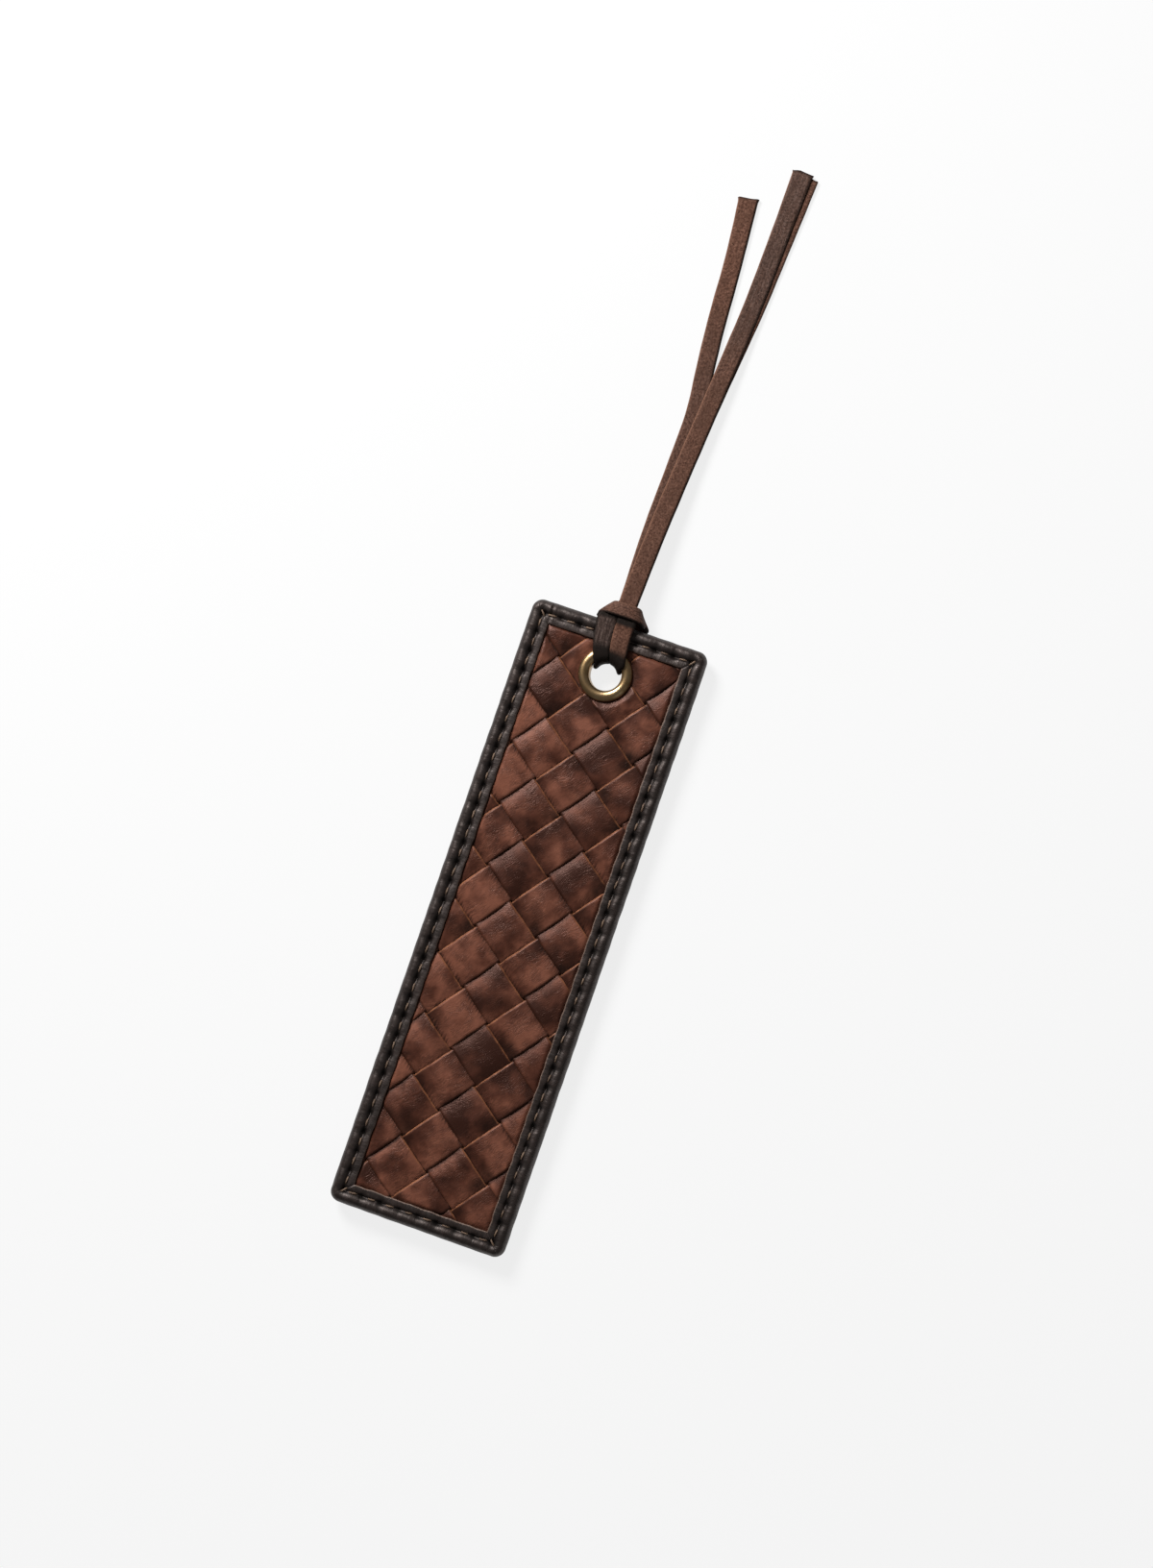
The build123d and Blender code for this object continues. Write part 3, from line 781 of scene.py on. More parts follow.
def bind_side(number, outward, along_way):
    """One side of the binding: rows of x, y, z, lit edge, painted stitch shade and three numbers of grain."""
    is_top = outward == (0, 1)
    count = stitch_counts[0] if along_way[0] else stitch_counts[1]
    outward, along_way = np.array(outward, float), np.array(along_way, float)
    half = abs(panel_half @ along_way)
    shares = np.linspace(0.0, 1.0, int(2 * half / step_along), endpoint=False)
    # The raw inner edge is painted paler on the bottom and right sides, which face the light: a painted
    # highlight.
    lit_edge_strength = 0.8 if number < 2 else 0.2
    rows = []
    for spot, (depth, height) in enumerate(section):
        flat, along, from_mitre = side_points(outward, along_way, depth, shares)
        tight, wide = pinch_at(along, half, count, 11 + number)
        level = np.full_like(along, height)
        if spot < len(outer_skin):
            sink = sink_at(depth, height, along, from_mitre, tight, wide, number)
            if is_top:
                sink = sink + seam_at(flat[:, 0], depth)
            level = level - sink if height > 0 else level + sink
            flat = flat - outward * wander_at(depth, along, wide, number)[:, None]
        edge = lit_edge_strength * smooth_step(4.6, 4.75, depth) * smooth_step(1.42, 1.56, height) + 0.0 * along
        # Painted shade in the pinched creases, the stitch holes and the groove.
        crease = 0.55 * hill(depth, 1.7, 0.9) * np.clip(tight, 0.0, 1.0) ** 2
        hole = hill(depth, 2.62, 0.70, 4) * smooth_step(0.40, 0.70, wide)
        stitch_shade = np.maximum(np.maximum(crease, hole), 0.55 * hill(depth, 2.85, 0.35))
        run = np.full_like(along, section_run[spot])
        rows.append(np.column_stack([flat, level, edge, stitch_shade, along + 200.0 * number, run, 0.0 * run]))
    return np.stack(rows, 1)


grid = np.concatenate([bind_side(number, *side) for number, side in enumerate(sides)])
values = grid.reshape(-1, grid.shape[2])
marks = {"edge": values[:, 3], "stitch_shade": values[:, 4], "grain": values[:, 5:]}
binding = make_piece("leather_binding", values[:, :3], ring_faces(*grid.shape[:2]), binding_leather, marks)
settle(binding, "panel", "binding_leather", "edge_binding")
print("binding faces", len(binding.data.polygons))

# %% [markdown]
# The thread is waxed and tan, two plies twisted. One stitch is modelled once, as a short twisted bead whose
# ends dive into their holes, and a node tree sets a copy on each point of the stitch line. Copying by hand
# would do for ten, but there are 80 on each face with the corners, and the tree turns and stretches each a
# little, by a seed.

# %% One stitch
thread_paint, tree, skin = finish("waxed_thread")
spot = in_millimetres(tree)
strands = noise(spot, 3.5, 3.0, 0.6)
patch = spread(noise(spot, 0.22, 2.0), 0.35, 0.65, 0.0, 0.65)
fibre = ramp(strands, (0.3, (0.090, 0.055, 0.036)), (0.55, (0.21, 0.136, 0.090)),
             (0.75, (0.34, 0.235, 0.162)))
fill(skin, {"Base Color": mix(patch, fibre, (0.080, 0.050, 0.034)), "Roughness": 0.62,
            "Specular IOR Level": 0.35, "Normal": bump(strands, 0.05, 0.8)})


def stitch_bead(length, width, rise, drop):
    """One stitch: a twisted thread that rises from one hole and dives into the next."""
    rings, around = 9, 6
    share = np.linspace(0.0, 1.0, rings)[:, None]
    turn = np.linspace(0.0, 2 * math.pi, around, endpoint=False)[None, :]
    bow = np.sin(math.pi * share).clip(0.0)
    radius = 0.5 * width * (0.45 + 0.55 * bow ** 0.5) * (1.0 + 0.14 * np.cos(2 * turn - 9.0 * share))
    height = rise - drop * (1.0 - bow ** 0.4) + 0.84 * radius * np.sin(turn)
    points = np.dstack([np.broadcast_to((share - 0.5) * length, radius.shape), radius * np.cos(turn), height])
    index = np.arange(rings * around).reshape(rings, around)
    beside = np.roll(index, -1, axis=1)
    faces = np.stack([index[:-1], beside[:-1], beside[1:], index[1:]], -1).reshape(-1, 4).tolist()
    caps = index[[0, -1]].tolist()
    mesh = bpy.data.meshes.new("one_stitch")
    mesh.from_pydata((points.reshape(-1, 3) * MM).tolist(), [], faces + caps)
    face_outwards(mesh)
    return bpy.data.objects.new("one_stitch", mesh)


one_stitch = stitch_bead(2.2, 0.40, 0.08, 0.85)
print("faces in a stitch", len(one_stitch.data.polygons))

# %% [markdown]
# The node tree takes the points of a stitch line and the stitch, turns and stretches a copy for each point,
# and makes one mesh of all of them.

# %% A node tree that sews


def chance(low, high, seed):
    """A random number for each point."""
    made = node(seed.id_data, "FunctionNodeRandomValue", {2: low, 3: high, "Seed": seed}, data_type="FLOAT")
    return made.outputs[1]


sewing, given = start_tree("sew_line", {"Stitch": None, "Slant": 0.07, "Unevenness": 0.10, "Seed": 3})
swing = chance(times(given["Slant"], -1.0), given["Slant"], given["Seed"])
tilt = node(sewing, "ShaderNodeCombineXYZ", {"Z": swing}).outputs[0]
turn = stored(sewing, "turn", "FLOAT_VECTOR")
turned = node(sewing, "ShaderNodeVectorMath", {0: turn, 1: tilt}, operation="ADD")
shortest = calc("SUBTRACT", 1.0, given["Unevenness"])
longest = calc("ADD", 1.0, given["Unevenness"])
size = chance(shortest, longest, calc("ADD", given["Seed"], 1.0))
bead = node(sewing, "GeometryNodeObjectInfo", {"Object": given["Stitch"]}).outputs["Geometry"]
sewn = node(sewing, "GeometryNodeInstanceOnPoints", {
    "Points": given["Geometry"], "Instance": bead, "Rotation": turned.outputs[0], "Scale": size})
end_tree(sewn.outputs[0], thread_paint)

# %% [markdown]
# The line itself is plain arithmetic: even steps along each side, and one slanted stitch in each corner. The
# back is sewn with another seed, and its stitches are turned over.

# %% Sew both faces


def sew(name, height, front):
    """Sew one face of the panel: points along the stitch line, then the tree."""
    places, turns = [], []
    run = 2 * (panel_half - stitch_inset)
    flip = 0.0 if front else math.pi
    for axis, count in enumerate(stitch_counts):
        for side in (-1, 1):
            for number in range(count):
                place = [0.0, 0.0, height]
                place[axis] = ((number + 0.5) / count - 0.5) * run[axis]
                place[1 - axis] = side * run[1 - axis] / 2
                places.append(place)
                turns.append((flip, 0.0, math.pi / 2 * axis))
    for side_x in (-1, 1):
        for side_y in (-1, 1):
            places.append((side_x * run[0] / 2, side_y * run[1] / 2, height))
            turns.append((flip, 0.0, side_x * side_y * math.pi / 4))
    mesh = bpy.data.meshes.new(name)
    mesh.from_pydata((np.array(places) * MM).tolist(), [], [])
    turn_marks = mesh.attributes.new("turn", "FLOAT_VECTOR", "POINT")
    turn_marks.data.foreach_set("vector", np.array(turns, np.float32).ravel())
    piece = bpy.data.objects.new(name, mesh)
    scene.collection.objects.link(piece)
    return shape_with(piece, sewing, Stitch=one_stitch, Seed=3 if front else 5)


for name, height, front, node_name in (("thread_front", 1.50, True, "front_stitching"),
                                       ("thread_back", -1.56, False, "back_stitching")):
    thread = sew(name, height, front)
    settle(thread, "panel", "thread", node_name)
    print(name, "faces", len(thread.data.polygons))

# %% [markdown]
# The eyelet is antique brass. It is dull, with darker tarnish in patches, fine scratches and a soft shine.

# %% Brass
brass, tree, skin = finish("antique_brass")
spot = in_millimetres(tree)
tarnish = noise(spot, 0.45, 4.0, 0.6)
scratches = noise(stretch(spot, (6.0, 0.8, 2.0)), 1.0, 3.0, 0.6)
metal = ramp(tarnish, (0.3, (0.25, 0.155, 0.070)), (0.55, (0.42, 0.28, 0.145)),
             (0.8, (0.54, 0.39, 0.22)))
rough = spread(tarnish, 0.3, 0.7, 0.38, 0.27)
fill(skin, {"Base Color": metal, "Metallic": 1.0, "Roughness": rough,
            "Normal": bump(scratches, 0.01, 0.35)})
print("made", brass.name)

# %% [markdown]
# The eyelet has a rounded ring on the front, a barrel through the panel, and a rim rolled over a washer
# behind. A torus would do for the ring, but not for the barrel. So one profile is spun round the hole's axis.
# The washer keeps its CAD shape.

# %% Eyelet
bore_radius, barrel_radius = 3.5, 3.8
flange_radius, flange_base = 5.95, 1.02
rim_radius, rim_base = 4.9, -1.45


def spin(name, profile, paint, segments=128):
    """Turn a closed profile of (radius, height) round the eyelet's axis."""
    angles = np.linspace(0.0, 2 * math.pi, segments, endpoint=False)[:, None]
    radius, height = np.array(profile).T
    x = np.cos(angles) * radius + eyelet_middle[0]
    y = np.sin(angles) * radius + eyelet_middle[1]
    points = np.dstack([x, y, np.broadcast_to(height, x.shape)])
    return make_piece(name, points.reshape(-1, 3), ring_faces(*x.shape), paint)


def dome(outer, inner, base, rise, count):
    """Points over a half round, from its outer edge to its inner one."""
    turns = np.linspace(0.0, math.pi, count)
    radius = (outer + inner) / 2 + (outer - inner) / 2 * np.cos(turns)
    return list(zip(radius, base + rise * np.sin(turns)))


def paint_node(name, paint):
    """Give a CAD node a finish and leave its shape alone."""
    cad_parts[name].data.materials.clear()
    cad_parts[name].data.materials.append(paint)


profile = [(flange_radius, flange_base)] + dome(flange_radius, bore_radius, flange_base + 0.10, 0.94, 19)
profile += [(bore_radius, 0.6), (bore_radius, 0.0), (bore_radius, -0.8)]
profile += dome(rim_radius, bore_radius, rim_base - 0.02, -0.60, 13)[::-1]
profile += [(barrel_radius, rim_base), (barrel_radius, 0.0), (barrel_radius, flange_base)]
eyelet = spin("brass_eyelet", profile, brass)
settle(eyelet, "panel", "antique_brass", "eyelet")
paint_node("eyelet_washer", brass)
print("eyelet faces", len(eyelet.data.polygons))

# %% [markdown]
# The lining and the core keep their CAD shapes, which are right as they are: flat sheets with a hole. They
# only need finishes. The lining is plain dark leather with a pebbled grain, and the core is grey-brown board
# whose fibres show at its edge. Both read the object's own coordinates, so nothing has to be unwrapped.

# %% Lining and core
lining_leather, tree, skin = finish("lining_leather")
spot = in_millimetres(tree)
pebbles = node(tree, "ShaderNodeTexVoronoi", {"Vector": warped(spot, 0.7, 0.6), "Scale": 1.3})
pebbles = pebbles.outputs["Distance"]
cloud = noise(spot, 0.12, 3.0)
hide = ramp(cloud, (0.3, (0.028, 0.014, 0.010)), (0.7, (0.060, 0.030, 0.021)))
hide = mix(spread(pebbles, 0.1, 0.7, 0.45, 0.0), hide, (0.018, 0.010, 0.008))
fill(skin, {"Base Color": hide, "Roughness": spread(cloud, 0.3, 0.7, 0.5, 0.65),
            "Normal": bump(pebbles, 0.08, 0.6)})

board, tree, skin = finish("grey_board")
fibre_lines = stretch(warped(in_millimetres(tree), 0.3, 1.0), (3.0, 0.6, 6.0))
fibres = noise(fibre_lines, 1.0, 4.0, 0.65)
pulp = ramp(fibres, (0.3, (0.20, 0.155, 0.110)), (0.7, (0.34, 0.275, 0.205)))
fill(skin, {"Base Color": pulp, "Roughness": 0.9, "Normal": bump(fibres, 0.05, 0.6)})
paint_node("back_lining", lining_leather)
paint_node("core_board", board)
print("painted", "back_lining", "core_board")

# %% [markdown]
# The lace is a flat strip of softer leather, matt and mottled like suede, with worm-like grain. One of its
# strands shows its darker, brushed side. A "tone" attribute moves the same finish from brown to dark, "raw"
# bares one cut side with a painted highlight, and "edge" paints the other side dark as shade, and also
# darkens the hitch where it lies in shade and the tails' cut ends, so that one material serves the hitch and
# both tails.

# %% Lace leather
lace_leather, tree, skin = finish("lace_leather")
grain = read(tree, "grain", vector=True)
worms = valleys(noise(warped(grain, 0.9, 0.8), 1.5, 3.0, 0.6, 0.4), 0.22)
specks = noise(grain, 4.2, 2.0, 0.6)
mottle = noise(warped(grain, 0.9, 0.6), 2.1, 3.0, 0.6, 0.5)
cloud = noise(grain, 0.2, 3.0, 0.5)
brown = ramp(mottle, (0.36, (0.044, 0.0178, 0.0112)), (0.5, (0.124, 0.0535, 0.0340)),
             (0.63, (0.205, 0.0985, 0.0650)))
brown = mix(spread(worms, 0.0, 0.6, 0.42, 0.0), brown, (0.062, 0.0262, 0.0166))
brown = mix(spread(cloud, 0.36, 0.66, 0.0, 0.6), brown, (0.072, 0.0320, 0.0200))
streaks = noise(stretch(warped(grain, 0.5, 0.5), (0.32, 3.6, 1.0)), 1.0, 4.0, 0.68)
dusky = ramp(streaks, (0.36, (0.0150, 0.0100, 0.0088)), (0.51, (0.0560, 0.0390, 0.0340)),
             (0.66, (0.1300, 0.0950, 0.0830)))
dusky = mix(spread(mottle, 0.37, 0.56, 0.75, 0.0), dusky, (0.0150, 0.0105, 0.0095))
hide = mix(read(tree, "tone"), brown, dusky)
# The lit raw side is a painted highlight; the edge attribute is painted shade on the other side and in the
# hitch's shaded places, and darkens the cut ends.
hide = mix(read(tree, "raw"), hide, (0.215, 0.105, 0.066))
hide = mix(read(tree, "edge"), hide, (0.0055, 0.0040, 0.0036))
relief = bump(specks, 0.03, 0.6, under=bump(mottle, 0.11, 0.75))
rough = spread(mottle, 0.3, 0.7, 0.85, 0.64)
fill(skin, {"Base Color": hide, "Roughness": rough, "Normal": relief, "Specular IOR Level": 0.2,
            "Specular Tint": (1.0, 0.8, 0.68, 1.0)})
print("made", lace_leather.name)

# %% [markdown]
# The hitch is the trick of the piece: the lace is doubled, its bight goes round the two strands as a band,
# and the strands run down the front, over the brass, through the hole and up behind to become that band. A
# swept curve can't change its section, and here the strand is flat on the panel and bent to part of a round
# in the hole. So each strand is drawn as a row of cross sections along its route, a smooth surface is run
# through them, and that is thickened.

# %% Helpers for a run of lace
lace_thickness = 0.95
across_shares = np.array([0.0, 0.02, 0.06, 0.13, 0.24, 0.37, 0.5, 0.63, 0.76, 0.87, 0.94, 0.98, 1.0])


def run_through(sections, steps):
    """A smooth surface through cross sections, a cubic between each two, and the length along it."""
    keys = np.array(sections)
    knots = run_along(keys.mean(axis=1))
    where = np.linspace(0.0, knots[-1], steps)
    slopes = np.gradient(keys, knots, axis=0)
    span = np.clip(np.searchsorted(knots, where, side="right") - 1, 0, len(knots) - 2)
    width = (knots[span + 1] - knots[span])[:, None, None]
    share = (where - knots[span])[:, None, None] / width
    square = share ** 2
    cube = share ** 3
    surface = (2 * cube - 3 * square + 1) * keys[span] + (cube - 2 * square + share) * slopes[span] * width
    surface = surface + (3 * square - 2 * cube) * keys[span + 1] + (cube - square) * slopes[span + 1] * width
    return surface, where


def thicken(surface, thickness, rounding=0.5):
    """Give a surface a top and an underside, drawn together towards its long edges."""
    normal = np.cross(np.gradient(surface, axis=0), np.gradient(surface, axis=1))
    normal /= np.linalg.norm(normal, axis=-1, keepdims=True) + 1e-9
    edge = np.minimum(across_shares, 1.0 - across_shares)
    half = thickness / 2 * (rounding + (1.0 - rounding) * smooth_step(0.0, 0.09, edge))
    return surface + normal * half[None, :, None], surface - normal * half[None, :, None]


def lace_shape(surface, where, tone, number, thickness=lace_thickness, lit_side=0, bare=0.7, shade_and_fraying=0.0,
               shade=0.92):
    """Thicken one run of lace: grain along it, one side edge raw with a painted highlight, the other painted
    dark as shade, and extra darkening added over it.
    """
    points, faces = slab(*thicken(surface, thickness))
    size = surface.shape[:2]
    wide = np.linalg.norm(surface[:, -1] - surface[:, 0], axis=-1).mean()
    grain = np.dstack([np.broadcast_to(where[:, None], size), np.broadcast_to(across_shares * wide, size),
                       np.full(size, 5.7 * number)])
    from_lit = (across_shares if lit_side == 0 else 1.0 - across_shares) * wide
    raw = (1.0 - smooth_step(0.05, 0.30, from_lit)) * bare
    dark = np.maximum((1.0 - smooth_step(0.15, 0.50, wide - from_lit)) * shade, shade_and_fraying)
    marks = {key: on_both(np.broadcast_to(mark, size)) for key, mark in
             (("raw", raw), ("edge", dark), ("tone", tone))}
    marks["grain"] = np.concatenate([grain.reshape(-1, 3), grain.reshape(-1, 3) + (0.0, 0.0, 31.0)])
    return points, faces, marks


def lace_piece(name, *shapes):
    """Make one piece from several runs of lace."""
    starts = np.cumsum([0] + [len(points) for points, _, _ in shapes])
    points = np.concatenate([shape[0] for shape in shapes])
    faces = np.concatenate([shape[1] + start for shape, start in zip(shapes, starts)])
    marks = {key: np.concatenate([shape[2][key] for shape in shapes]) for key in shapes[0][2]}
    return make_piece(name, points, faces, lace_leather, marks)


print("points across the lace", len(across_shares))

# %% [markdown]
# Four kinds of cross section make the whole route: straight ones between two points, straight ones over the
# panel, bent ones in the hole, and the band's, which go round the strands on a rounded square.

# %% Cross sections of the lace


def slant_section(start, end):
    """A straight cross section between any two points."""
    return np.array(start) + (np.array(end) - np.array(start)) * across_shares[:, None]


def flat_section(y, z, start_x, end_x, end_y=None, lift=0.0):
    """A straight cross section over the panel, from one edge of the lace to the other."""
    return slant_section((start_x, y, z + lift), (end_x, y if end_y is None else end_y, z))


def bent_section(z, radius, start_angle, end_angle):
    """A cross section bent round the inside of the eyelet's hole."""
    turn = np.radians(start_angle + (end_angle - start_angle) * across_shares)
    round_hole = eyelet_middle + radius * np.column_stack([np.cos(turn), np.sin(turn)])
    return np.column_stack([round_hole, np.full(len(turn), z)])


def band_section(degrees):
    """The band's cross section at one turn round the strands, from its lower edge to its upper one."""
    cosine, sine = math.cos(math.radians(degrees)), math.sin(math.radians(degrees))
    bulge = 2.0 / 2.4  # under 1 makes the round squarer
    bottom = -2.62
    top = 3.66 - 0.95 * across_shares + 0.10 * np.sin(math.pi * across_shares)
    half_width = 5.1 - 2.55 * across_shares ** 1.15
    x = -0.65 + 0.35 * across_shares + half_width * np.sign(cosine) * abs(cosine) ** bulge
    y = 69.85 + 3.1 * across_shares + (0.15 - 0.75 * cosine ** 4) * (1.0 - across_shares)
    z = (top + bottom) / 2 + (top - bottom) / 2 * np.sign(sine) * abs(sine) ** bulge
    return np.column_stack([x, y, z])


print("section at the band's front", np.round(band_section(90.0)[0], 2))

# %% [markdown]
# The right strand lies a little over the left one, so its inner edge is lifted. Both begin above, inside the
# band, where the tails begin too. Behind, the two legs part and turn into the band's two ends.

# %% Strands of the hitch
band_start, band_end = -15.0, 195.0


def strand_keys(front, hole, back, turn, band_degrees):
    """Cross sections of one strand: down the front, through the hole, up behind and into the band."""
    keys = [flat_section(*row) for row in front] + [bent_section(*row) for row in hole]
    keys += [flat_section(*row) for row in back] + [slant_section(*row) for row in turn]
    return keys + [band_section(band_degrees)[::-1]]


right_strand = strand_keys(
    [(73.2, 1.68, -2.1, 1.9), (72.2, 1.95, -1.9, 2.15), (70.8, 2.45, -1.5, 2.6),
     (69.4, 2.68, -1.2, 2.95, 69.4, 0.15), (66.6, 2.68, -1.1, 3.0, 66.6, 0.2),
     (64.0, 2.70, -0.85, 3.15, 64.0, 0.2), (62.3, 2.66, -0.5, 3.35, 61.8, 0.1),
     (61.2, 2.30, -0.15, 3.4, 59.8)],
    [(1.55, 3.06, 91.0, 30.0), (0.6, 2.88, 91.0, 20.0), (-0.6, 2.88, 91.0, 20.0), (-1.6, 3.06, 91.0, 28.0)],
    [(61.3, -2.45, 0.05, 3.4, 60.1), (62.8, -2.62, 0.1, 3.9), (66.0, -2.62, 0.8, 4.6)],
    [((1.3, 71.2, -2.5), (5.2, 68.6, -2.5)), ((1.9, 72.6, -1.9), (5.3, 69.0, -1.5))], band_start)
left_strand = strand_keys(
    [(73.2, 0.45, -1.0, -2.5), (72.2, 1.30, -0.9, -2.9), (70.8, 2.20, -1.1, -4.0), (69.4, 2.60, -1.2, -5.3),
     (66.6, 2.62, -1.15, -5.2), (64.0, 2.64, -0.95, -4.8), (62.3, 2.60, -0.6, -4.2, 61.8),
     (61.2, 2.26, -0.2, -3.5, 59.8)],
    [(1.55, 3.06, 93.0, 154.0), (0.6, 2.88, 92.0, 168.0), (-0.6, 2.88, 92.0, 168.0),
     (-1.6, 3.06, 92.0, 158.0)],
    [(61.3, -2.45, -0.05, -3.4, 60.1), (62.8, -2.62, -0.1, -3.9), (66.0, -2.62, -1.2, -5.0)],
    [((-1.9, 71.2, -2.5), (-6.0, 68.6, -2.5)), ((-2.6, 72.6, -1.9), (-6.3, 69.0, -1.5))], band_end)
hitch_parts = []
hidden_tone = 0.1
for keys, front_tone, number, bare in ((right_strand, 0.1, 1, 0.5), (left_strand, 0.9, 2, 0.0)):
    surface, where = run_through(keys, 150)
    # Painted shade: the strands are darkened where they bend down into the hole and where they run under the
    # band.
    bend = smooth_step(10.0, 12.0, where) * (1.0 - smooth_step(17.5, 20.0, where))
    under_band = smooth_step(1.2, 2.6, where) * (1.0 - smooth_step(4.8, 5.6, where))
    shade_and_fraying = np.maximum(bend, under_band)[:, None]
    shown = smooth_step(1.5, 3.5, where) * (1.0 - 0.8 * smooth_step(16.0, 21.0, where))
    tone = hidden_tone + (front_tone - hidden_tone) * shown[:, None]
    hitch_parts.append(lace_shape(surface, where, tone, number, bare=bare, shade_and_fraying=shade_and_fraying))
print("strand faces", [len(faces) for _, faces, _ in hitch_parts])

# %% [markdown]
# The band is the lace's bight. It comes round from both back legs and crosses in front of the strands, wide
# at its lower edge and drawn in above, like a collar. It is a grid too: one way runs round the strands, the
# other from the lower edge to the upper one.

# %% Band of the hitch
band_surface = np.stack([band_section(degrees) for degrees in np.linspace(band_start, band_end, 80)])
band_run = run_along(band_surface[:, len(across_shares) // 2])
# Painted shade along the band's lower edge.
lower_rim = 0.6 * (1.0 - smooth_step(0.02, 0.14, across_shares))[None, :]
hitch_parts.append(lace_shape(band_surface, band_run, 0.3, 3, lit_side=1, shade_and_fraying=lower_rim))
hitch = lace_piece("lace_knot", *hitch_parts)
settle(hitch, "panel", "lace_leather", "lace_hitch")
print("hitch faces", len(hitch.data.polygons))

# %% [markdown]
# The tails are the lace's two ends. Each is a smooth line with the route's points as its control points,
# read back as a row of points, with a flat section carried along it. The right one lies on the left one at
# the hitch and has split at its tip, so that its lower layer shows along its right side.
# Their ends are cut by hand, so they aren't square.

# %% Helpers for the tails


def smooth_line(name, route):
    """Read points along a smooth curve whose control points are the route's."""
    curve = bpy.data.curves.new(name, "CURVE")
    curve.dimensions = "3D"
    curve.resolution_u = 40
    spline = curve.splines.new("NURBS")
    spline.points.add(len(route) - 1)
    for point, place in zip(spline.points, route):
        point.co = (*(value * MM for value in place), 1.0)
    spline.order_u = 3
    spline.use_endpoint_u = True
    holder = bpy.data.objects.new(name, curve)
    scene.collection.objects.link(holder)
    mesh = bpy.data.meshes.new_from_object(holder.evaluated_get(bpy.context.evaluated_depsgraph_get()))
    line = np.array([point.co for point in mesh.vertices]) / MM
    bpy.data.objects.remove(holder)
    bpy.data.meshes.remove(mesh)
    return line


def share_along(line):
    """The share of a line's length at each of its points, from 0 to 1."""
    run = run_along(line)
    return run / run[-1]


def ribbon(line, half_width, ragged, seed, tilt=0.0, shift=0.0, rise=0.0):
    """A flat strip along a line, with a ragged end. Its width, tilt and shift may change along it."""
    run = run_along(line)
    share = share_along(line)
    way = np.gradient(line, axis=0)
    way /= np.linalg.norm(way, axis=1, keepdims=True)
    side = np.cross(way, [0.0, 0.0, 1.0])
    side /= np.linalg.norm(side, axis=1, keepdims=True)
    turn = np.broadcast_to(tilt, share.shape)[:, None]
    side = side * np.cos(turn) + np.cross(side, way) * np.sin(turn)
    reach = half_width + 0.06 * ripple(run, seed, 14.0)
    middle = line + side * np.broadcast_to(shift, share.shape)[:, None] + np.array([0.0, 0.0, rise])
    offsets = (2.0 * across_shares - 1.0)[None, :, None] * reach[:, None, None]
    surface = middle[:, None, :] + side[:, None, :] * offsets
    cuts = np.random.default_rng(seed).uniform(-1, 1, 6)
    jag = ragged * np.interp(np.linspace(0, 1, len(across_shares)), np.linspace(0, 1, 6), cuts)
    surface += way[:, None, :] * (jag[None, :] * smooth_step(0.985, 1.0, share)[:, None])[..., None]
    return surface, run


def frayed(run):
    """Darken the last part of a millimetre at a cut end."""
    return smooth_step(run[-1] - 0.55, run[-1] - 0.1, run)[:, None] * 0.85


print("tail helpers ready")

# %% [markdown]
# Both tails widen a little at their tips, where the leather is pressed by the cut. The upper layer of the
# right one goes dusky from the middle on, and tilts as the lower layer comes out from under it.

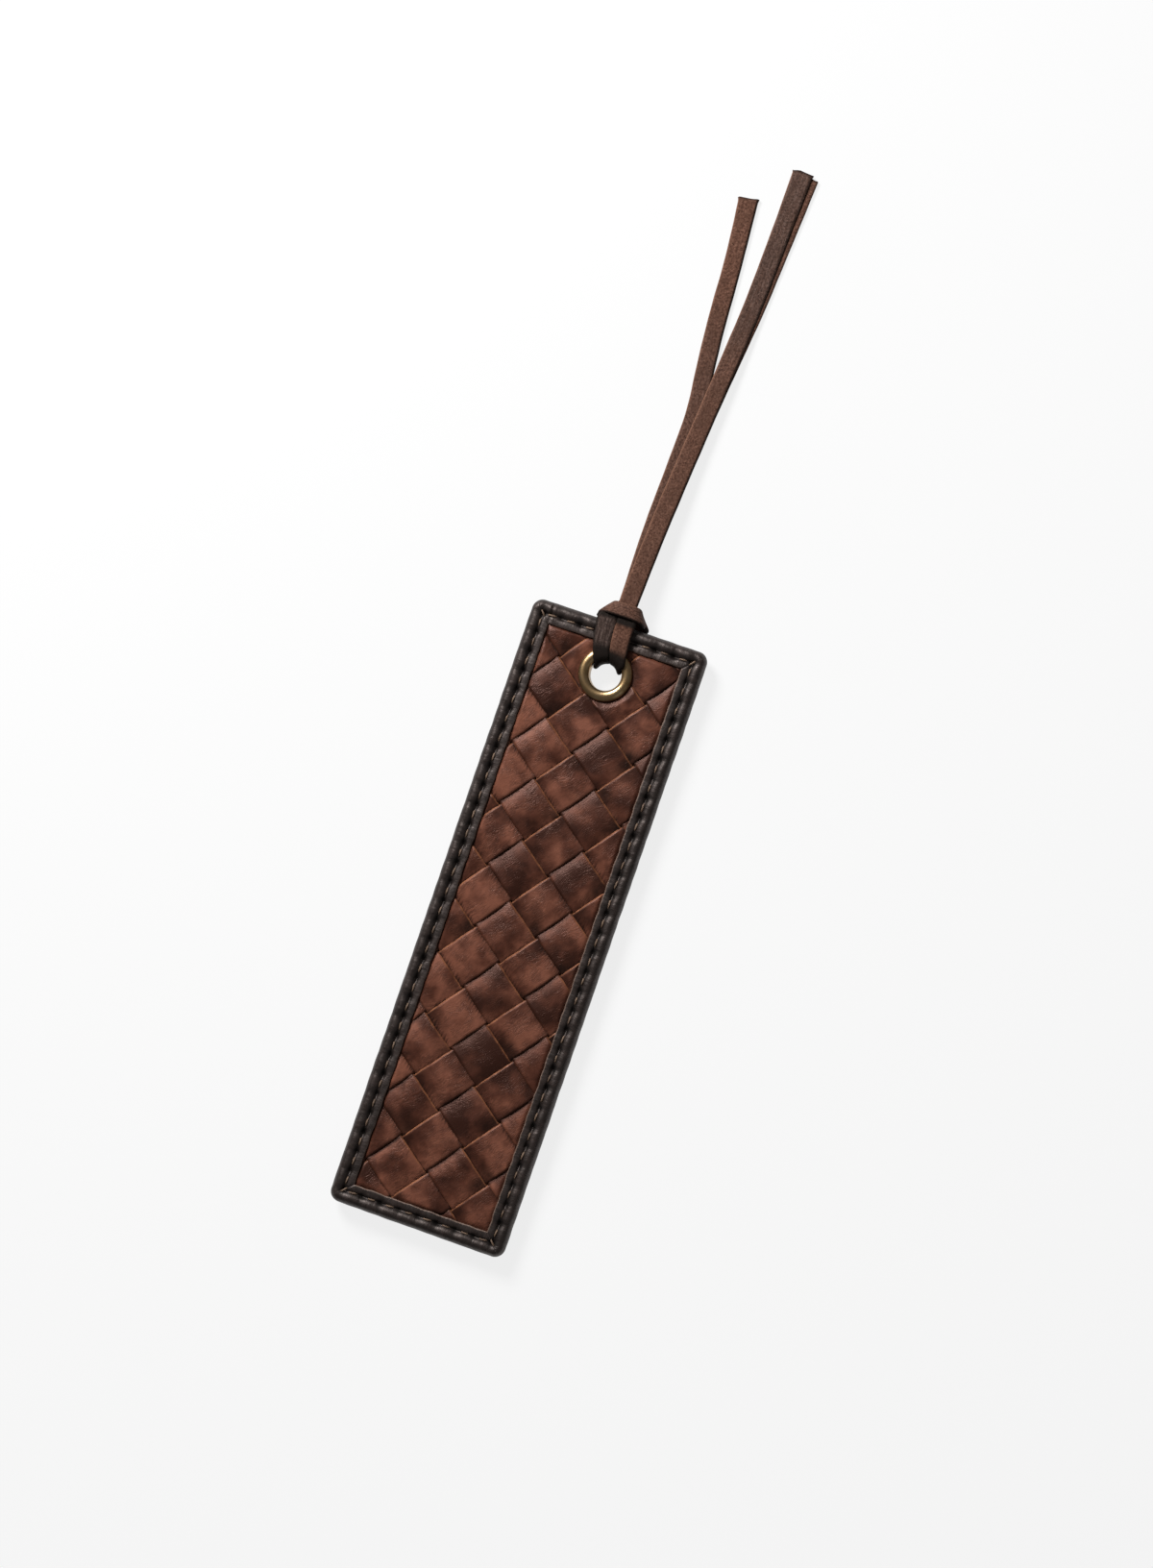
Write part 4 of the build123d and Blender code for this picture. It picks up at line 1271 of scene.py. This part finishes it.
# %% Tails
right_route = [(-0.15, 73.0, 1.80), (-0.1, 74.5, 1.55), (0.4, 92.0, 0.2), (1.5, 109.0, -1.0),
               (2.75, 126.0, -1.25), (3.75, 142.0, -2.5), (4.2, 157.5, -2.5), (4.6, 173.8, -2.5)]
left_route = [(-0.4, 73.2, 0.45), (-0.45, 74.5, 0.25), (-0.95, 92.0, -1.25), (-0.6, 108.0, -2.4),
              (-0.45, 118.0, -2.62), (-1.6, 126.0, -2.62), (-2.75, 138.0, -2.62), (-3.45, 152.0, -2.62),
              (-4.85, 164.9, -2.62)]
right_line = smooth_line("right_line", right_route)
left_line = smooth_line("left_line", left_route)

share = share_along(right_line)
split = smooth_step(0.45, 1.0, share)
half_width = 2.05 + 0.2 * smooth_step(0.85, 1.0, share) + 0.2 * smooth_step(0.992, 1.0, share)
surface, run = ribbon(right_line, half_width, 0.30, 81, tilt=0.10 * split)
upper_dark = 0.12 + 0.50 * smooth_step(0.45, 0.75, share)[:, None]
upper_shade = 0.9 - 0.5 * split[:, None]
upper_layer = lace_shape(surface, run, upper_dark, 4, shade_and_fraying=frayed(run), shade=upper_shade)

under_line = right_line[share > 0.42][:-1]
under_shift = 0.9 + 1.75 * share_along(under_line) ** 1.2
surface, run = ribbon(under_line, 1.1, 0.3, 83, shift=under_shift, rise=-0.12)
under_layer = lace_shape(surface, run, 0.15, 5, thickness=0.5, shade_and_fraying=frayed(run), shade=0.4)
tail_right = lace_piece("tail_right", upper_layer, under_layer)

share = share_along(left_line)
half_width = 2.02 + 0.12 * smooth_step(0.9, 1.0, share) + 0.2 * smooth_step(0.991, 1.0, share)
surface, run = ribbon(left_line, half_width, 0.25, 85)
left_dark = 0.05 + 0.25 * (1.0 - smooth_step(0.5, 0.85, share))[:, None]
tail_left = lace_piece("tail_left", lace_shape(surface, run, left_dark, 6, shade_and_fraying=frayed(run)))
print("tail faces", len(tail_right.data.polygons), len(tail_left.data.polygons))

# %% [markdown]
# A tail that rode on one body alone would tear off at the hitch when it turns. Here each tail's CAD node is
# hidden and its mesh is baked in place.

# %% Hide the tails' CAD nodes
for tail, line, bodies, pivot, node_name in (
        (tail_right, right_line, ("panel", "right_tail"), (0.0, 74.5, 0.9), "lace_tail_right"),
        (tail_left, left_line, ("right_tail", "left_tail"), (-0.9, 75.7, 0.9), "lace_tail_left")):
    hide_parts(node_name)
    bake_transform(tail)
